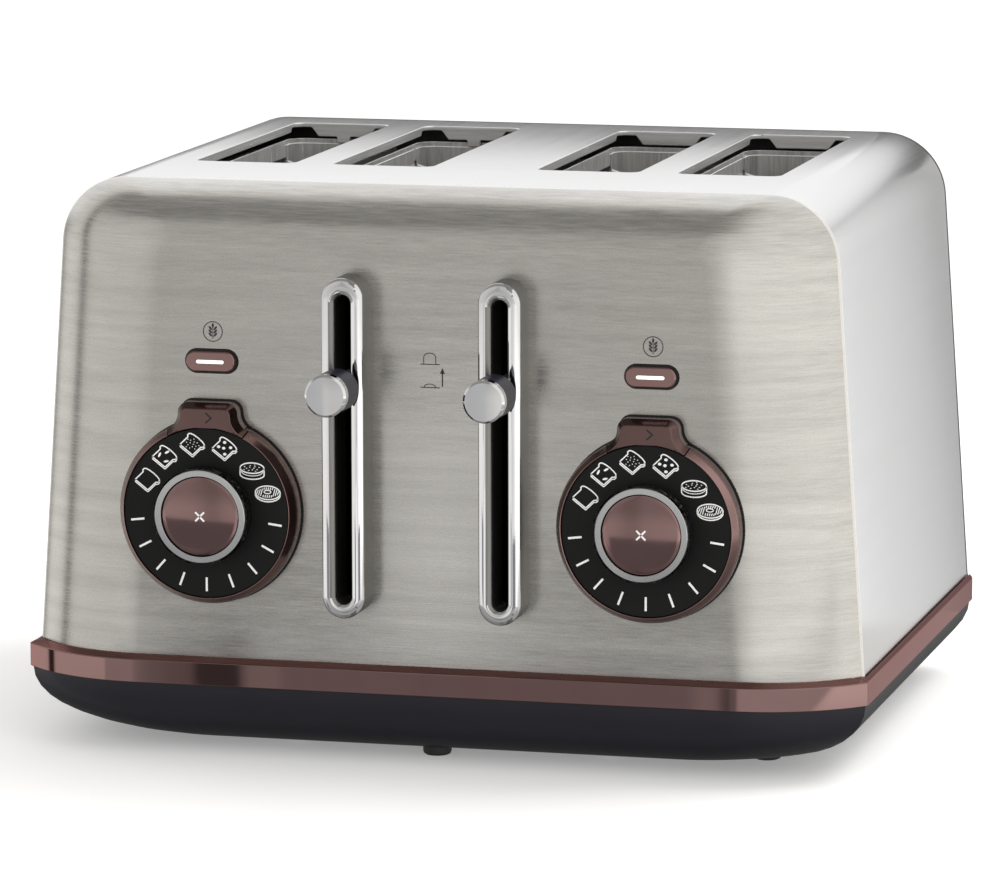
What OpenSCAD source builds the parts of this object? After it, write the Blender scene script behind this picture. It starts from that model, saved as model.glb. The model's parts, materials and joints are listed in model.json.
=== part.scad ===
// Four-slice pop-up toaster: steel body on a dark base, two levers, two dials.
// The front faces -Y, +Z is up, and the origin is on the floor under the middle.

/* [Body] */
// Height of the steel top above the floor
body_height = 219.5; // [214:0.5:226]
// Width of the body at the trim band
body_base_width = 324.4; // [320:0.4:326]
// Width of the body at the top
body_top_width = 300; // [294:0.5:304]
// Radius of the two long top edges
top_radius = 26; // [22:1:30]
// Distance of the flat front panel in front of the middle
panel_reach = 105.5; // [105:0.1:106]
// Radius where the panel rolls over at the top
panel_roll = 21; // [17:1:24]
// Radius of the panel's two side curves
panel_sweep = 58; // [55:0.5:60]
// Distance of the rear edge of the wrap behind the middle
wrap_back = 136; // [135:0.5:136]
// Thickness of the sheet steel
sheet = 1.2; // [0.8:0.1:1.5]

/* [Base] */
// How far the trim band stands out of the body on each side
trim_side = 2.8; // [2.4:0.1:4.2]
// Height of the lower edge of the trim band
trim_z = 28.7; // [28.7:0.1:29.2]
// Height of the band's upright face
trim_band = 9; // [8:0.5:10]
// Rise of the sloping edge above the band
trim_slope = 1.4; // [1:0.1:1.8]
// Wall of the dark base tray
base_wall = 2.5; // [2:0.25:3]
// Height of the base tray's flat bottom above the floor
base_lift = 2.8; // [2.4:0.1:3.2]
// Diameter of a foot
foot_diameter = 11; // [9:0.5:13]

/* [Slots] */
// Distance of the inner slots from the middle
slot_inner = 40.95; // [40.2:0.05:41.6]
// Distance of the outer slots from the middle
slot_outer = 96.44; // [95.8:0.02:97]
// Width of a slot in the top
slot_width = 40.2; // [39.4:0.2:41.4]
// Length of a slot in the top
slot_length = 141.7; // [140:0.1:143]
// Corner radius of a slot
slot_radius = 4; // [3:0.5:6]
// Depth of the lip folded down along each side of a slot
slot_lip = 3.5; // [2.5:0.1:4.5]
// Distance of the frame rims below the top
rim_drop = 6.7; // [6:0.1:8]
// Distance of a bread guide's pivot line from its slot's middle
guide_offset = 17; // [16:0.25:17]

/* [Levers] */
// Distance of each lever from the middle
lever_x = 30.33; // [29.5:0.01:31]
// Height of the lever knob at rest
lever_z = 146.8; // [144:0.2:149]
// Width of the chrome lever bezel
bezel_width = 16.3; // [15:0.1:17.5]
// Height of the chrome lever bezel
bezel_height = 129.4; // [128:0.2:131]
// How far the bezel stands out of the panel
bezel_depth = 14.5; // [13:0.5:15]
// Width of the lever slot
lever_slot = 6.85; // [6:0.05:8]
// Height of the lever slot
lever_run = 118; // [117:0.5:120]
// Diameter of the lever knob
grip_diameter = 16; // [14:0.5:18]
// Length of the dark part of the lever knob
grip_length = 14.75; // [13:0.25:16]
// Length of the chrome cap on the lever knob
cap_length = 4; // [3:0.25:5]

/* [Dials] */
// Distance of each dial from the middle
dial_x = 85.42; // [84:0.02:86.5]
// Height of the dial centres
dial_z = 96; // [94:0.5:98]
// Outer radius of the dial ring
ring_radius = 35.2; // [34.6:0.1:35.8]
// Radius of the black dial face
face_radius = 32.4; // [31.6:0.1:33]
// How far the black dial face stands out of the panel
face_depth = 9.2; // [8.4:0.2:9.6]
// Radius of the browning knob
knob_radius = 18.25; // [17.5:0.25:19]
// Radius of the cancel button in the knob
cancel_radius = 15.1; // [14.5:0.1:15.8]
// How far the knob stands out of the panel
knob_depth = 17.7; // [17:0.1:18.5]
// Height of the tab button's top above the dial centre
tab_reach = 42; // [41.6:0.2:43.6]
// Width of the tab button
tab_width = 23.6; // [22:0.2:25]

/* [Buttons] */
// Height of the oval buttons
preset_z = 152.9; // [151:0.1:154]
// Length of an oval button
preset_length = 19.6; // [18:0.1:20.4]
// Height of an oval button
preset_height = 8; // [7.4:0.1:8.8]

/* [Inlet] */
// How far the rear inlet collar stands out
gland_reach = 4.15; // [3:0.05:6]

/* [Mechanism] */
// Radius of the carriage guide rods
rod_radius = 3; // [2.5:0.1:3.5]
// Radial clearance of a carriage on its rods
rod_fit = 0.06; // [0.04:0.01:0.1]
// Radius of the spring wire
spring_wire = 0.7; // [0.5:0.1:0.8]
// Number of turns of each lift spring
spring_turns = 11; // [8:1:13]
// Height of the bread racks at rest
rack_z = 124; // [120:1:128]

/* [Hidden] */
$fn = 72;

steel = [0.74, 0.73, 0.71];
bright_steel = [0.84, 0.84, 0.84];
brushed_front = [0.66, 0.65, 0.62];
rose_gold = [0.55, 0.38, 0.36];
chrome = [0.82, 0.83, 0.85];
charcoal = [0.15, 0.15, 0.17];
grip_grey = [0.22, 0.2, 0.23];
face_black = [0.06, 0.06, 0.07];
board_green = [0.1, 0.32, 0.2];
mica = [0.72, 0.66, 0.52];
rubber = [0.08, 0.08, 0.09];

front_y = -panel_reach;
// the side walls lean in from the trim to the top
trim_top = trim_z + trim_band + trim_slope;
side_lean = atan((body_base_width - body_top_width) / 2 / (body_height - trim_top));
seat_z = trim_z + 4.1;
sweep_x = body_base_width / 2 - 46.2;
trim_width = body_base_width + 2 * trim_side;
// the trim and the base sweep about their own centres
trim_sweep_x = trim_width / 2 - 49;
sweep_y = front_y + panel_sweep;
// the seam is where the panel's side curve meets the side wall
seam_y = sweep_y - sqrt(pow(panel_sweep, 2) - pow(body_base_width / 2 - sweep_x, 2));
rear_face = wrap_back + 2.6;
trim_back = rear_face + 2.4;
trim_reach = 6.5;
slot_front = -24.85;
slot_back = slot_front + slot_length;
slots = [-slot_outer, -slot_inner, slot_inner, slot_outer];
// the bread chambers hang between these two sheets
chamber_y0 = -28;
chamber_y1 = 121;
chamber_z = body_height - rim_drop - 6.9;
rim_top = body_height - rim_drop;
// the lips at a slot's ends drop lower than its side lips
end_lip = slot_lip + 2;
rod_y = -50;
chamber_half = slot_outer + 40.56;
rods = [52, 84];
hinge_z = 52;
guide_top = 194;
board_y = front_y + 13.5;
dial_hub = 5;
bevel_drop = 4.2;
tab_corner = 4.2;
tab_flank = 7;
stem_bore = 3.1;
gland_x = 0;
gland_z = 54;
foot_y = front_y + 25.5;
foot_spots = [[-120, foot_y + 22], [-4.4, foot_y], [120, foot_y + 22], [-104, 96], [0, 104], [104, 96]];
screw_spots = [[-62, foot_y + 8], [62, foot_y + 8], [-62, 92], [62, 92]];

// ---------- shared shapes ----------

// draws a child outline (x, z) and extrudes it from y0 to y1
module along_y(y0, y1) {
    translate([0, y1, 0]) rotate([90, 0, 0]) linear_extrude(y1 - y0) children();
}

// draws a child outline (y, z) and extrudes it from x0 to x1
module along_x(x0, x1) {
    translate([x0, 0, 0]) rotate([90, 0, 90]) linear_extrude(x1 - x0) children();
}

// a box from one corner to the opposite corner
module span(a, b) {
    translate(a) cube(b - a);
}

// puts children on the front panel: local Z points out of the panel
module on_panel(x, z) {
    translate([x, front_y, z]) rotate([90, 0, 0]) children();
}

module both_sides() {
    children();
    mirror([1, 0, 0]) children();
}

// side -1 is left, side 1 is right; children are drawn for the right
module side(s) {
    mirror([s < 0 ? 1 : 0, 0, 0]) children();
}

// upright oval outline of full width w and full height h
module oval(w, h) {
    r = min(w, h) / 2;
    square([max(w - 2 * r, 0.01), h > w ? h - 2 * r : h], center = true);
    if (h > w) {
        square([w, h - 2 * r], center = true);
        translate([0, h / 2 - r]) circle(r);
        translate([0, r - h / 2]) circle(r);
    } else {
        translate([w / 2 - r, 0]) circle(r);
        translate([r - w / 2, 0]) circle(r);
    }
}

// rectangle from corner to corner with round corners
module round_rect(x0, y0, x1, y1, r) {
    translate([x0 + r, y0]) square([x1 - x0 - 2 * r, y1 - y0]);
    translate([x0, y0 + r]) square([x1 - x0, y1 - y0 - 2 * r]);
    for (x = [x0 + r, x1 - r], y = [y0 + r, y1 - r]) {
        translate([x, y]) circle(r);
    }
}

// ---------- body envelope ----------

// front view of the body, drawn in by i all round except at the bottom
module body_section(i, low) {
    r = top_radius - i;
    cx = body_top_width / 2 - top_radius * (1 - sin(side_lean)) / cos(side_lean);
    cz = body_height - top_radius;
    foot_x = body_top_width / 2 + (body_height - low) * tan(side_lean) - i / cos(side_lean);
    tx = cx + r * cos(side_lean);
    tz = cz + r * sin(side_lean);
    polygon([[foot_x, low], [tx, tz], [cx, body_height - i],
             [-cx, body_height - i], [-tx, tz], [-foot_x, low]]);
    for (x = [-cx, cx]) translate([x, cz]) circle(r, $fn = 120);
}

// plan of the body's front with its swept corners, for the trim's seat
module front_plan(i) {
    half = body_base_width / 2 + 0.35 - i;
    intersection() {
        union() {
            translate([-sweep_x, front_y + i]) square([2 * sweep_x, 300]);
            for (x = [-sweep_x - 0.3, sweep_x + 0.3])
                translate([x, sweep_y]) circle(panel_sweep - i, $fn = 120);
            translate([-200, sweep_y]) square([400, 300]);
        }
        translate([-half, front_y - 10]) square([2 * half, rear_face - front_y + 10 - i]);
    }
}

// one ring of the front panel: the body outline drawn in for a level d behind the front
function panel_ring(i, d, low) =
    let (side_in = body_base_width / 2 - sweep_x
             - sqrt(max(0, pow(panel_sweep, 2) - pow(panel_sweep - d, 2))),
         roll = d < panel_roll
             ? panel_roll - sqrt(pow(panel_roll, 2) - pow(panel_roll - d, 2)) : 0,
         r = top_radius - i - (top_radius - 6) * min(1, roll / panel_roll),
         top = body_height - i - roll,
         half = body_top_width / 2 - i - side_in,
         foot = half + (body_height - low) * tan(side_lean),
         cx = half + roll * tan(side_lean) - r * (1 - sin(side_lean)) / cos(side_lean),
         right = concat([[foot, low]],
             [for (k = [0:10]) let (a = side_lean + k * (90 - side_lean) / 10)
                 [cx + r * cos(a), top - r + r * sin(a)]]),
         n = len(right))
    concat(right, [for (k = [n - 1:-1:0]) [-right[k][0], right[k][1]]]);

// solid front of the body, drawn in by i, from the seam (plus extra) to the flat front
module panel_form(i, low, extra = 0) {
    turn = acos(1 - (seam_y - front_y) / panel_sweep);
    steps = 12;
    levels = [for (j = [0:steps]) panel_sweep * (1 - cos(turn * (1 - j / steps)))];
    shapes = [for (d = levels) panel_ring(i, d, low)];
    n = len(shapes[0]);
    lead = extra > 0 ? 1 : 0;
    m = len(levels) + lead;
    points = [for (j = [0:m - 1], p = shapes[max(0, j - lead)])
        [p[0], front_y + levels[max(0, j - lead)] + (j < lead ? extra : 0) + (j < lead ? 0 : i), p[1]]];
    sides = [for (j = [0:m - 2], k = [0:n - 1]) let (q = (k + 1) % n)
        each [[j * n + k, (j + 1) * n + k, j * n + q],
              [j * n + q, (j + 1) * n + k, (j + 1) * n + q]]];
    polyhedron(points, concat([[for (k = [0:n - 1]) k]], sides,
                              [[for (k = [n - 1:-1:0]) (m - 1) * n + k]]), convexity = 4);
}

// ---------- outer shell ----------

module slot_plan(grow) {
    for (x = slots) {
        translate([x, 0]) round_rect(-slot_width / 2 - grow, slot_front - grow,
                                     slot_width / 2 + grow, slot_back + grow,
                                     slot_radius + grow);
    }
}

module wrap_shell() {
    color(steel) difference() {
        union() {
            difference() {
                along_y(seam_y + 0.3, wrap_back) body_section(0, seat_z);
                along_y(seam_y - 5, wrap_back + 5) body_section(sheet, seat_z - 2);
            }
            slot_lips();
        }
        translate([0, 0, body_height - 15]) linear_extrude(20) slot_plan(0);
    }
}

// sheet folded down round the slots, left open at the corners
module slot_lips() {
    edge = sheet + 0.6;
    translate([0, 0, body_height - edge]) linear_extrude(edge - sheet / 2) slot_plan(1);
    intersection() {
        translate([0, 0, body_height - end_lip - 4]) linear_extrude(end_lip + 4 - sheet / 2)
            slot_plan(1);
        union() {
            for (x = slots) translate([x, 0, body_height]) {
                along_y(slot_front - 2, slot_back + 2) lip_outline(slot_width, end_lip, 2);
                translate([0, (slot_front + slot_back) / 2, 0]) rotate([0, 0, 90])
                    along_y(-slot_width / 2 - 2, slot_width / 2 + 2)
                        lip_outline(slot_length, slot_lip, 1.6);
            }
            // tabs that hook the two left slots to their frames
            for (x = [slots[0], slots[1]])
                span([x - 2.8, slot_back - 2, body_height - end_lip - 2.7],
                     [x + 2.8, slot_back + 2, body_height - end_lip + 0.5]);
        }
    }
}

// a fold as long as its slot's straight side, narrowing downwards
module lip_outline(length, drop, taper) {
    half = length / 2 - slot_radius - taper;
    polygon([[-half, 0], [half, 0], [half, -sheet], [half - drop * 0.62, -drop],
             [drop * 0.62 - half, -drop], [-half, -sheet]]);
}

module front_panel() {
    color(brushed_front) difference() {
        panel_form(0, seat_z);
        panel_form(sheet, seat_z - 2, 3);
        both_sides() {
            on_panel(lever_x, bezel_mid()) translate([0, 0, -5]) linear_extrude(10)
                oval(bezel_width - 3.1, bezel_height - 3.1);
            on_panel(dial_x, dial_z) translate([0, 0, -5]) cylinder(r = dial_hub + 1.4, h = 10);
            on_panel(dial_x, dial_z + tab_mid()) translate([0, 0, -5]) cylinder(r = 2.6, h = 10);
            on_panel(dial_x, preset_z) translate([0, 0, -5]) linear_extrude(10)
                oval(preset_length + 1.6, preset_height + 1.6);
        }
    }
}

// middle heights of the lever slots and of the bezels round them
function run_mid() = 122.8;
function bezel_mid() = run_mid() + 0.6;

module rear_panel() {
    color(charcoal) difference() {
        along_y(wrap_back + 0.1, rear_face) body_section(0, seat_z);
        for (x = [-96:24:96], z = [120, 150]) {
            translate([x, rear_face + 1, z]) rotate([90, 0, 0])
                linear_extrude(6) oval(5, 22);
        }
        translate([gland_x, rear_face + 1, gland_z]) rotate([90, 0, 0]) cylinder(r = 8.05, h = 6);
    }
}

// ---------- trim band ----------

// solid block of the whole band with its sloping top edge
module trim_block() {
    w = trim_width / 2;
    z0 = trim_z;
    z1 = trim_z + trim_band;
    z2 = trim_top;
    r = panel_sweep + trim_reach;
    lip = w - body_base_width / 2 + 0.6;
    intersection() {
        union() {
            along_x(-trim_sweep_x, trim_sweep_x)
                polygon([[sweep_y - r, z0], [sweep_y - r, z1], [sweep_y - panel_sweep + 1, z2],
                         [0, z2], [0, z0]]);
            both_sides() translate([trim_sweep_x, sweep_y, 0]) rotate_extrude($fn = 160)
                polygon([[0, z0], [r, z0], [r, z1], [panel_sweep - 1, z2], [0, z2]]);
            span([-w - 5, sweep_y, z0], [w + 5, trim_back, z2]);
        }
        along_y(sweep_y - r - 5, trim_back + 5)
            polygon([[-w, z0], [w, z0], [w, z1], [w - lip, z2], [lip - w, z2], [-w, z1]]);
        along_x(-200, 200)
            polygon([[-200, z0], [trim_back, z0], [trim_back, z1], [trim_back - 3, z2], [-200, z2]]);
        translate([0, 0, z0 - 1]) linear_extrude(20)
            round_rect(-w, -200, w, trim_back, 8);
    }
}

// the ledge under the steel is left, and everything above it is cut to the body
module trim_ring() {
    inner = body_base_width / 2 - 7.2;
    color(rose_gold) difference() {
        trim_block();
        translate([0, 0, seat_z]) linear_extrude(20) front_plan(-0.3);
        translate([0, 0, trim_z - 1]) linear_extrude(20) {
            round_rect(-inner, -60, inner, trim_back - 10, 6);
            translate([12 - sweep_x, front_y + 7.5]) square([2 * sweep_x - 24, 80]);
            for (x = [12 - sweep_x, sweep_x - 12])
                translate([x, sweep_y + 0.5]) circle(panel_sweep - 7);
        }
    }
}

module trim_front() {
    intersection() {
        trim_ring();
        span([-200, -200, 0], [200, seam_y - 4.4, 60]);
    }
}

module trim_side(s) {
    side(s) intersection() {
        trim_ring();
        span([0.15, seam_y - 4.1, 0], [200, 200, 60]);
    }
}

// ---------- base ----------

// plan outline of the base drawn in by w, as points
function base_plan(w) =
    let (r = panel_sweep + trim_reach - w,
         half = trim_width / 2 - w,
         stop = -acos((half - trim_sweep_x) / r),
         right = concat(
             [for (k = [0:10]) let (a = -90 + k * (stop + 90) / 10)
                 [trim_sweep_x + r * cos(a), sweep_y + r * sin(a)]],
             [for (k = [0:5]) let (a = k * 18)
                 [trim_width / 2 - 8 + (8 - w) * cos(a), trim_back - 8 + (8 - w) * sin(a)]]),
         n = len(right))
    concat(right, [for (k = [n - 1:-1:0]) [-right[k][0], right[k][1]]]);

// the tray's outside curves in towards the bottom along quarter ellipses
module base_hull(w, lid = 0) {
    plan = base_plan(w);
    n = len(plan);
    steps = 10;
    mid = (front_y - trim_reach + trim_back) / 2;
    depth = trim_z - base_lift - (w > 1 ? w : 0);
    rings = concat(
        lid > 0 ? [[1, 1, trim_z + lid]] : [],
        [for (j = [0:steps]) let (c = 1 - cos(90 * j / steps))
            [1 - 0.303 * c, 1 - 0.28 * c, trim_z - depth * sin(90 * j / steps)]]);
    m = len(rings);
    points = [for (g = rings, p = plan)
        [p[0] * g[0], mid + (p[1] - mid) * g[1], g[2]]];
    sides = [for (j = [0:m - 2], k = [0:n - 1]) let (q = (k + 1) % n)
        each [[j * n + k, j * n + q, (j + 1) * n + k],
              [j * n + q, (j + 1) * n + q, (j + 1) * n + k]]];
    polyhedron(points, concat([[for (k = [n - 1:-1:0]) k]], sides,
                              [[for (k = [0:n - 1]) (m - 1) * n + k]]), convexity = 2);
}

module base_tray() {
    color(charcoal) difference() {
        union() {
            difference() {
                base_hull(1);
                base_hull(1 + base_wall, 3);
            }
            intersection() {
                base_hull(1.05);
                base_supports();
            }
        }
        for (p = foot_spots) translate([p[0], p[1], -1]) cylinder(d = foot_diameter + 0.1, h = 11);
        for (p = screw_spots) {
            translate([p[0], p[1], -1]) cylinder(r = 3.6, h = 7);
            translate([p[0], p[1], 0]) cylinder(r = 1.6, h = 16);
        }
        both_sides() span([18.5, 128, 16.2], [127.5, 160, 26.6]);
    }
}

module base_supports() {
    // walls and posts that carry the chamber sheets, rods and boards
    span([3 - chamber_half, -32, 0], [chamber_half - 3, -26, trim_z]);
    span([-104, -57, 0], [104, -43, trim_z]);
    span([-12, 117, 0], [12, 127, trim_z]);
    both_sides() {
        span([chamber_half - 6.5, 117, 0], [chamber_half + 2, 127, trim_z]);
        span([88, front_y + 8.5, 0], [98, front_y + 36, trim_z]);
        // rails under the crumb trays
        span([24, -27, 0], [28, 133, 16.2]);
        span([118, -27, 0], [122, 133, 16.2]);
    }
    for (p = foot_spots) translate([p[0], p[1], 0]) cylinder(d = foot_diameter + 6, h = 14);
    for (p = screw_spots) translate([p[0], p[1], 0]) cylinder(r = 5.5, h = 16);
}

module feet() {
    color(rubber) for (p = foot_spots) translate([p[0], p[1], 0]) {
        cylinder(d1 = foot_diameter - 1.6, d2 = foot_diameter, h = 1);
        translate([0, 0, 1]) cylinder(d = foot_diameter, h = 9);
    }
}

module base_screws() {
    color(chrome) for (p = screw_spots) translate([p[0], p[1], 3.4]) difference() {
        union() {
            cylinder(r = 3.4, h = 2.6);
            translate([0, 0, 2.6]) cylinder(r = 1.55, h = 9);
        }
        span([-2.6, -0.5, -1], [2.6, 0.5, 1]);
        span([-0.5, -2.6, -1], [0.5, 2.6, 1]);
    }
}

// ---------- lever fronts ----------

// bezel outline with a small bevel round its front edge
module bezel_body() {
    r = bezel_width / 2;
    h = bezel_height / 2 - r;
    b = 1.1;
    for (z = [-h, h]) translate([0, z, 0]) {
        cylinder(r = r, h = bezel_depth - b);
        translate([0, 0, bezel_depth - b]) cylinder(r1 = r, r2 = r - b, h = b);
    }
    translate([0, h, 0]) rotate([90, 0, 0]) linear_extrude(2 * h)
        polygon([[-r, 0], [r, 0], [r, bezel_depth - b], [r - b, bezel_depth],
                 [b - r, bezel_depth], [-r, bezel_depth - b]]);
    translate([0, 0, -sheet]) linear_extrude(sheet + 0.5)
        oval(bezel_width - 3.3, bezel_height - 3.3);
}

module lever_bezel(s) {
    color(chrome) on_panel(s * lever_x, bezel_mid()) difference() {
        bezel_body();
        translate([0, run_mid() - bezel_mid(), -3]) linear_extrude(bezel_depth + 6)
            oval(lever_slot, lever_run);
    }
}

// dark channels that close off the body behind the lever slots
module lever_channels() {
    color(face_black) both_sides() on_panel(lever_x, run_mid())
        translate([0, 0, -34 - sheet]) difference() {
            linear_extrude(34) square([14.4, lever_run + 10], center = true);
            translate([0, 0, 1.4]) linear_extrude(40)
                square([11.6, lever_run + 7], center = true);
            translate([0, 0, -1]) linear_extrude(4) oval(6.4, lever_run + 4);
        }
}

module lever_grip(s) {
    color(grip_grey) on_panel(s * lever_x, lever_z) translate([0, 0, bezel_depth + 4])
        difference() {
            union() {
                cylinder(d1 = grip_diameter - 1, d2 = grip_diameter, h = 0.8);
                translate([0, 0, 0.8]) cylinder(d = grip_diameter, h = grip_length - 0.8);
            }
            span([-1.55, -5.05, -1], [1.55, 5.05, 8]);
        }
}

module lever_cap(s) {
    color(chrome) on_panel(s * lever_x, lever_z)
        translate([0, 0, bezel_depth + 4 + grip_length]) {
            cylinder(d = grip_diameter, h = cap_length - 1);
            translate([0, 0, cap_length - 1])
                cylinder(d1 = grip_diameter, d2 = grip_diameter - 2, h = 1);
        }
}

// ---------- dials ----------

// the ring slopes back from the face, and is cut low where the tab lies over it
module dial_ring(s) {
    h = face_depth + 0.9;
    a = tab_turn() - 0.45;
    color(rose_gold) on_panel(s * dial_x, dial_z) difference() {
        rotate_extrude($fn = 120)
            polygon([[face_radius, 0], [ring_radius, 0], [ring_radius, h - bevel_drop],
                     [face_radius + 0.5, h], [face_radius, h - 0.4]]);
        translate([0, 0, h - bevel_drop - 1.4]) linear_extrude(20)
            polygon([[0, 0], [60 * cos(a), 60 * sin(a)], [-60 * cos(a), 60 * sin(a)]]);
    }
}

module dial_face(s) {
    r = face_radius - 0.05;
    color(face_black) on_panel(s * dial_x, dial_z) rotate_extrude($fn = 120)
        polygon([[dial_hub + 0.3, 0], [dial_hub + 2.8, 0], [dial_hub + 2.8, face_depth - 2.4],
                 [r - 2, face_depth - 2.4], [r - 2, 0], [r, 0], [r, face_depth],
                 [dial_hub + 0.3, face_depth]]);
}

// where the tab's hollow flanks run into the ring
function flank_y() = sqrt(pow(ring_radius + tab_flank, 2) - pow(tab_width / 2 + tab_flank, 2));
function tab_turn() = atan2(flank_y(), tab_width / 2 + tab_flank);

// from the left end of the tab's edge over its top to the right end, drawn in by g
function tab_edge(g) =
    let (w = tab_width / 2, r = tab_corner, f = tab_flank,
         right = concat(
             [for (k = [0:5]) let (a = 90 - 15 * k)
                 [w - r + (r - g) * cos(a), tab_reach - r + (r - g) * sin(a)]],
             [for (k = [0:8]) let (a = 180 + k * tab_turn() / 8)
                 [w + f + (f + g) * cos(a), flank_y() + (f + g) * sin(a)]]))
    both_sides(right);

// the tab's edge beside the dial face, with as many points
function tab_foot() =
    let (inner = face_radius + 0.3, wide = 83 - tab_turn())
    both_sides([for (k = [0:14]) let (a = 83 - wide * k / 14) [inner * cos(a), inner * sin(a)]]);

function both_sides(points) =
    concat([for (k = [len(points) - 1:-1:0]) [-points[k][0], points[k][1]]], points);

function turned_back(points) = [for (k = [len(points) - 1:-1:0]) points[k]];

function tab_outline(g) = concat(tab_edge(g), turned_back(tab_foot()));

// the part of the tab that lies over the ring, with a sloping edge
module tab_head() {
    top = face_depth + 0.7;
    low = face_depth + 0.9 - bevel_drop;
    levels = [[0, low - 0.1], [0, low + 0.4], [2.1, top]];
    n = len(tab_outline(0));
    points = [for (v = levels, p = tab_outline(v[0])) [p[0], p[1], v[1]]];
    lid = [for (k = [0:n / 2 - 2]) [k, k + 1, n - 2 - k, n - 1 - k]];
    sides = [for (j = [0:1], k = [0:n - 1]) let (q = (k + 1) % n)
        each [[j * n + k, j * n + q, (j + 1) * n + k],
              [j * n + q, (j + 1) * n + q, (j + 1) * n + k]]];
    floor = [for (f = lid) turned_back(f)];
    polyhedron(points, concat(floor, sides, [for (f = lid) [for (k = f) 2 * n + k]]), convexity = 4);
}

// height of the tab's stem above the dial centre
function tab_mid() = (ring_radius + tab_reach) / 2;

module select_button(s) {
    color(rose_gold) on_panel(s * dial_x, dial_z) {
        tab_head();
        translate([0, 0, 1.4]) linear_extrude(face_depth - bevel_drop - 0.5) difference() {
            polygon(tab_outline(0));
            circle(ring_radius + 0.2, $fn = 120);
        }
        translate([0, tab_mid(), -12.1]) cylinder(r = 2, h = 14);
    }
}

module browning_knob(s) {
    base = face_depth + 0.3;
    color(chrome) on_panel(s * dial_x, dial_z) difference() {
        union() {
            translate([0, 0, base]) linear_extrude(knob_depth - base - 0.6) difference() {
                circle(knob_radius, $fn = 120);
                for (k = [0:47]) rotate(k * 7.5) translate([knob_radius + 0.25, 0])
                    circle(0.65, $fn = 16);
            }
            translate([0, 0, knob_depth - 0.6])
                cylinder(r1 = knob_radius - 0.4, r2 = knob_radius - 0.9, h = 0.6);
            translate([0, 0, -7.5]) cylinder(r = dial_hub, h = base + 8);
        }
        translate([0, 0, base + 2.1]) cylinder(r = cancel_radius + 0.15, h = 20);
        translate([0, 0, -20]) cylinder(r = stem_bore, h = 60);
    }
}

module cancel_button(s) {
    back = face_depth + 3.9;
    color(rose_gold) on_panel(s * dial_x, dial_z) {
        translate([0, 0, back]) cylinder(r = cancel_radius, h = knob_depth - 0.6 - back);
        translate([0, 0, knob_depth - 0.6])
            cylinder(r1 = cancel_radius, r2 = cancel_radius - 0.5, h = 0.4);
        translate([0, 0, -9]) cylinder(r = stem_bore - 0.3, h = back + 9.5);
    }
}

module preset_button(s) {
    color(rose_gold) on_panel(s * dial_x, preset_z) {
        translate([0, 0, -1.7]) linear_extrude(4.2) oval(preset_length, preset_height);
        translate([0, 0, -2.7]) linear_extrude(1.1) oval(preset_length + 3, preset_height + 3);
        translate([0, 0, -12.1]) cylinder(r = 2, h = 10);
    }
}

// ---------- lift mechanism ----------

module carriage(s) {
    reach = bezel_depth + 12;
    color(steel) side(s) difference() {
        union() {
            // blade through the lever slot into the knob
            span([lever_x - 1.5, front_y - reach, lever_z - 5], [lever_x + 1.5, rod_y, lever_z + 5]);
            span([24, rod_y - 4, lever_z - 6], [104, rod_y + 4, lever_z + 6]);
            for (x = rods) translate([x, rod_y, lever_z - 20]) cylinder(r = 6.5, h = 40);
            for (x = [slot_inner, slot_outer])
                span([x - 2.5, rod_y, rack_z - 3], [x + 2.5, rod_y + 6, lever_z]);
            // armature that the latch magnet holds
            span([60, rod_y - 7, lever_z - 16], [76, rod_y + 7, lever_z - 6]);
        }
        for (x = rods) translate([x, rod_y, lever_z - 30]) cylinder(r = rod_radius + rod_fit, h = 60);
    }
}

module bread_rack(s) {
    y0 = chamber_y0 + 4;
    y1 = chamber_y1 - 7;
    color(bright_steel) side(s) for (x = [slot_inner, slot_outer]) translate([x, 0, rack_z]) {
        span([-2.5, rod_y + 6, -2], [2.5, y0 + 2, 2.6]);
        for (e = [-12, 10]) span([e, y0, 0], [e + 2, y1, 2.6]);
        for (k = [0:8]) span([-11, y0 + k * (y1 - y0 - 2) / 8, 0.6],
                             [11, y0 + k * (y1 - y0 - 2) / 8 + 2, 2.6]);
    }
}

// round wire wound up a rod, from z0 to z1
module coil(x, y, z0, z1, radius, wire, turns) {
    seg = 14;
    n = turns * seg;
    m = 6;
    points = [for (k = [0:n]) let (a = k * 360 / seg, z = z0 + (z1 - z0) * k / n)
        for (j = [0:m - 1]) let (b = j * 360 / m, r = radius + wire * cos(b))
            [x + r * cos(a), y + r * sin(a), z + wire * sin(b)]];
    sides = [for (k = [0:n - 1], j = [0:m - 1]) let (q = (j + 1) % m)
        each [[k * m + j, (k + 1) * m + j, k * m + q],
              [k * m + q, (k + 1) * m + j, (k + 1) * m + q]]];
    polyhedron(points, concat([[for (j = [0:m - 1]) j]], sides,
                              [[for (j = [m - 1:-1:0]) n * m + j]]), convexity = 8);
}

module lift_spring(s) {
    color(bright_steel) coil(s * rods[0], rod_y, trim_z + spring_wire + 0.1,
                             lever_z - 20 - spring_wire - 0.1,
                             rod_radius + spring_wire + 1.3, spring_wire, spring_turns);
}

module guide_rods() {
    color(bright_steel) for (x = rods, s = [-1, 1])
        translate([s * x, rod_y, trim_z]) cylinder(r = rod_radius, h = 176);
}

module latch_magnets() {
    color(grip_grey) both_sides() {
        span([61, rod_y - 7, trim_z], [75, rod_y + 7, 42]);
        span([64, rod_y - 4, 42], [72, rod_y + 4, lever_z - 93]);
    }
}

// ---------- bread chambers ----------

// one upright sheet at y, with a hole on each guide's pivot line
module chamber_sheet(y, top) {
    along_y(y, y + 1.5) difference() {
        translate([-chamber_half, trim_z]) square([2 * chamber_half, top - trim_z]);
        for (x = slots, g = [-guide_offset, guide_offset])
            translate([x + g, hinge_z]) circle(1.35, $fn = 32);
    }
}

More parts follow.
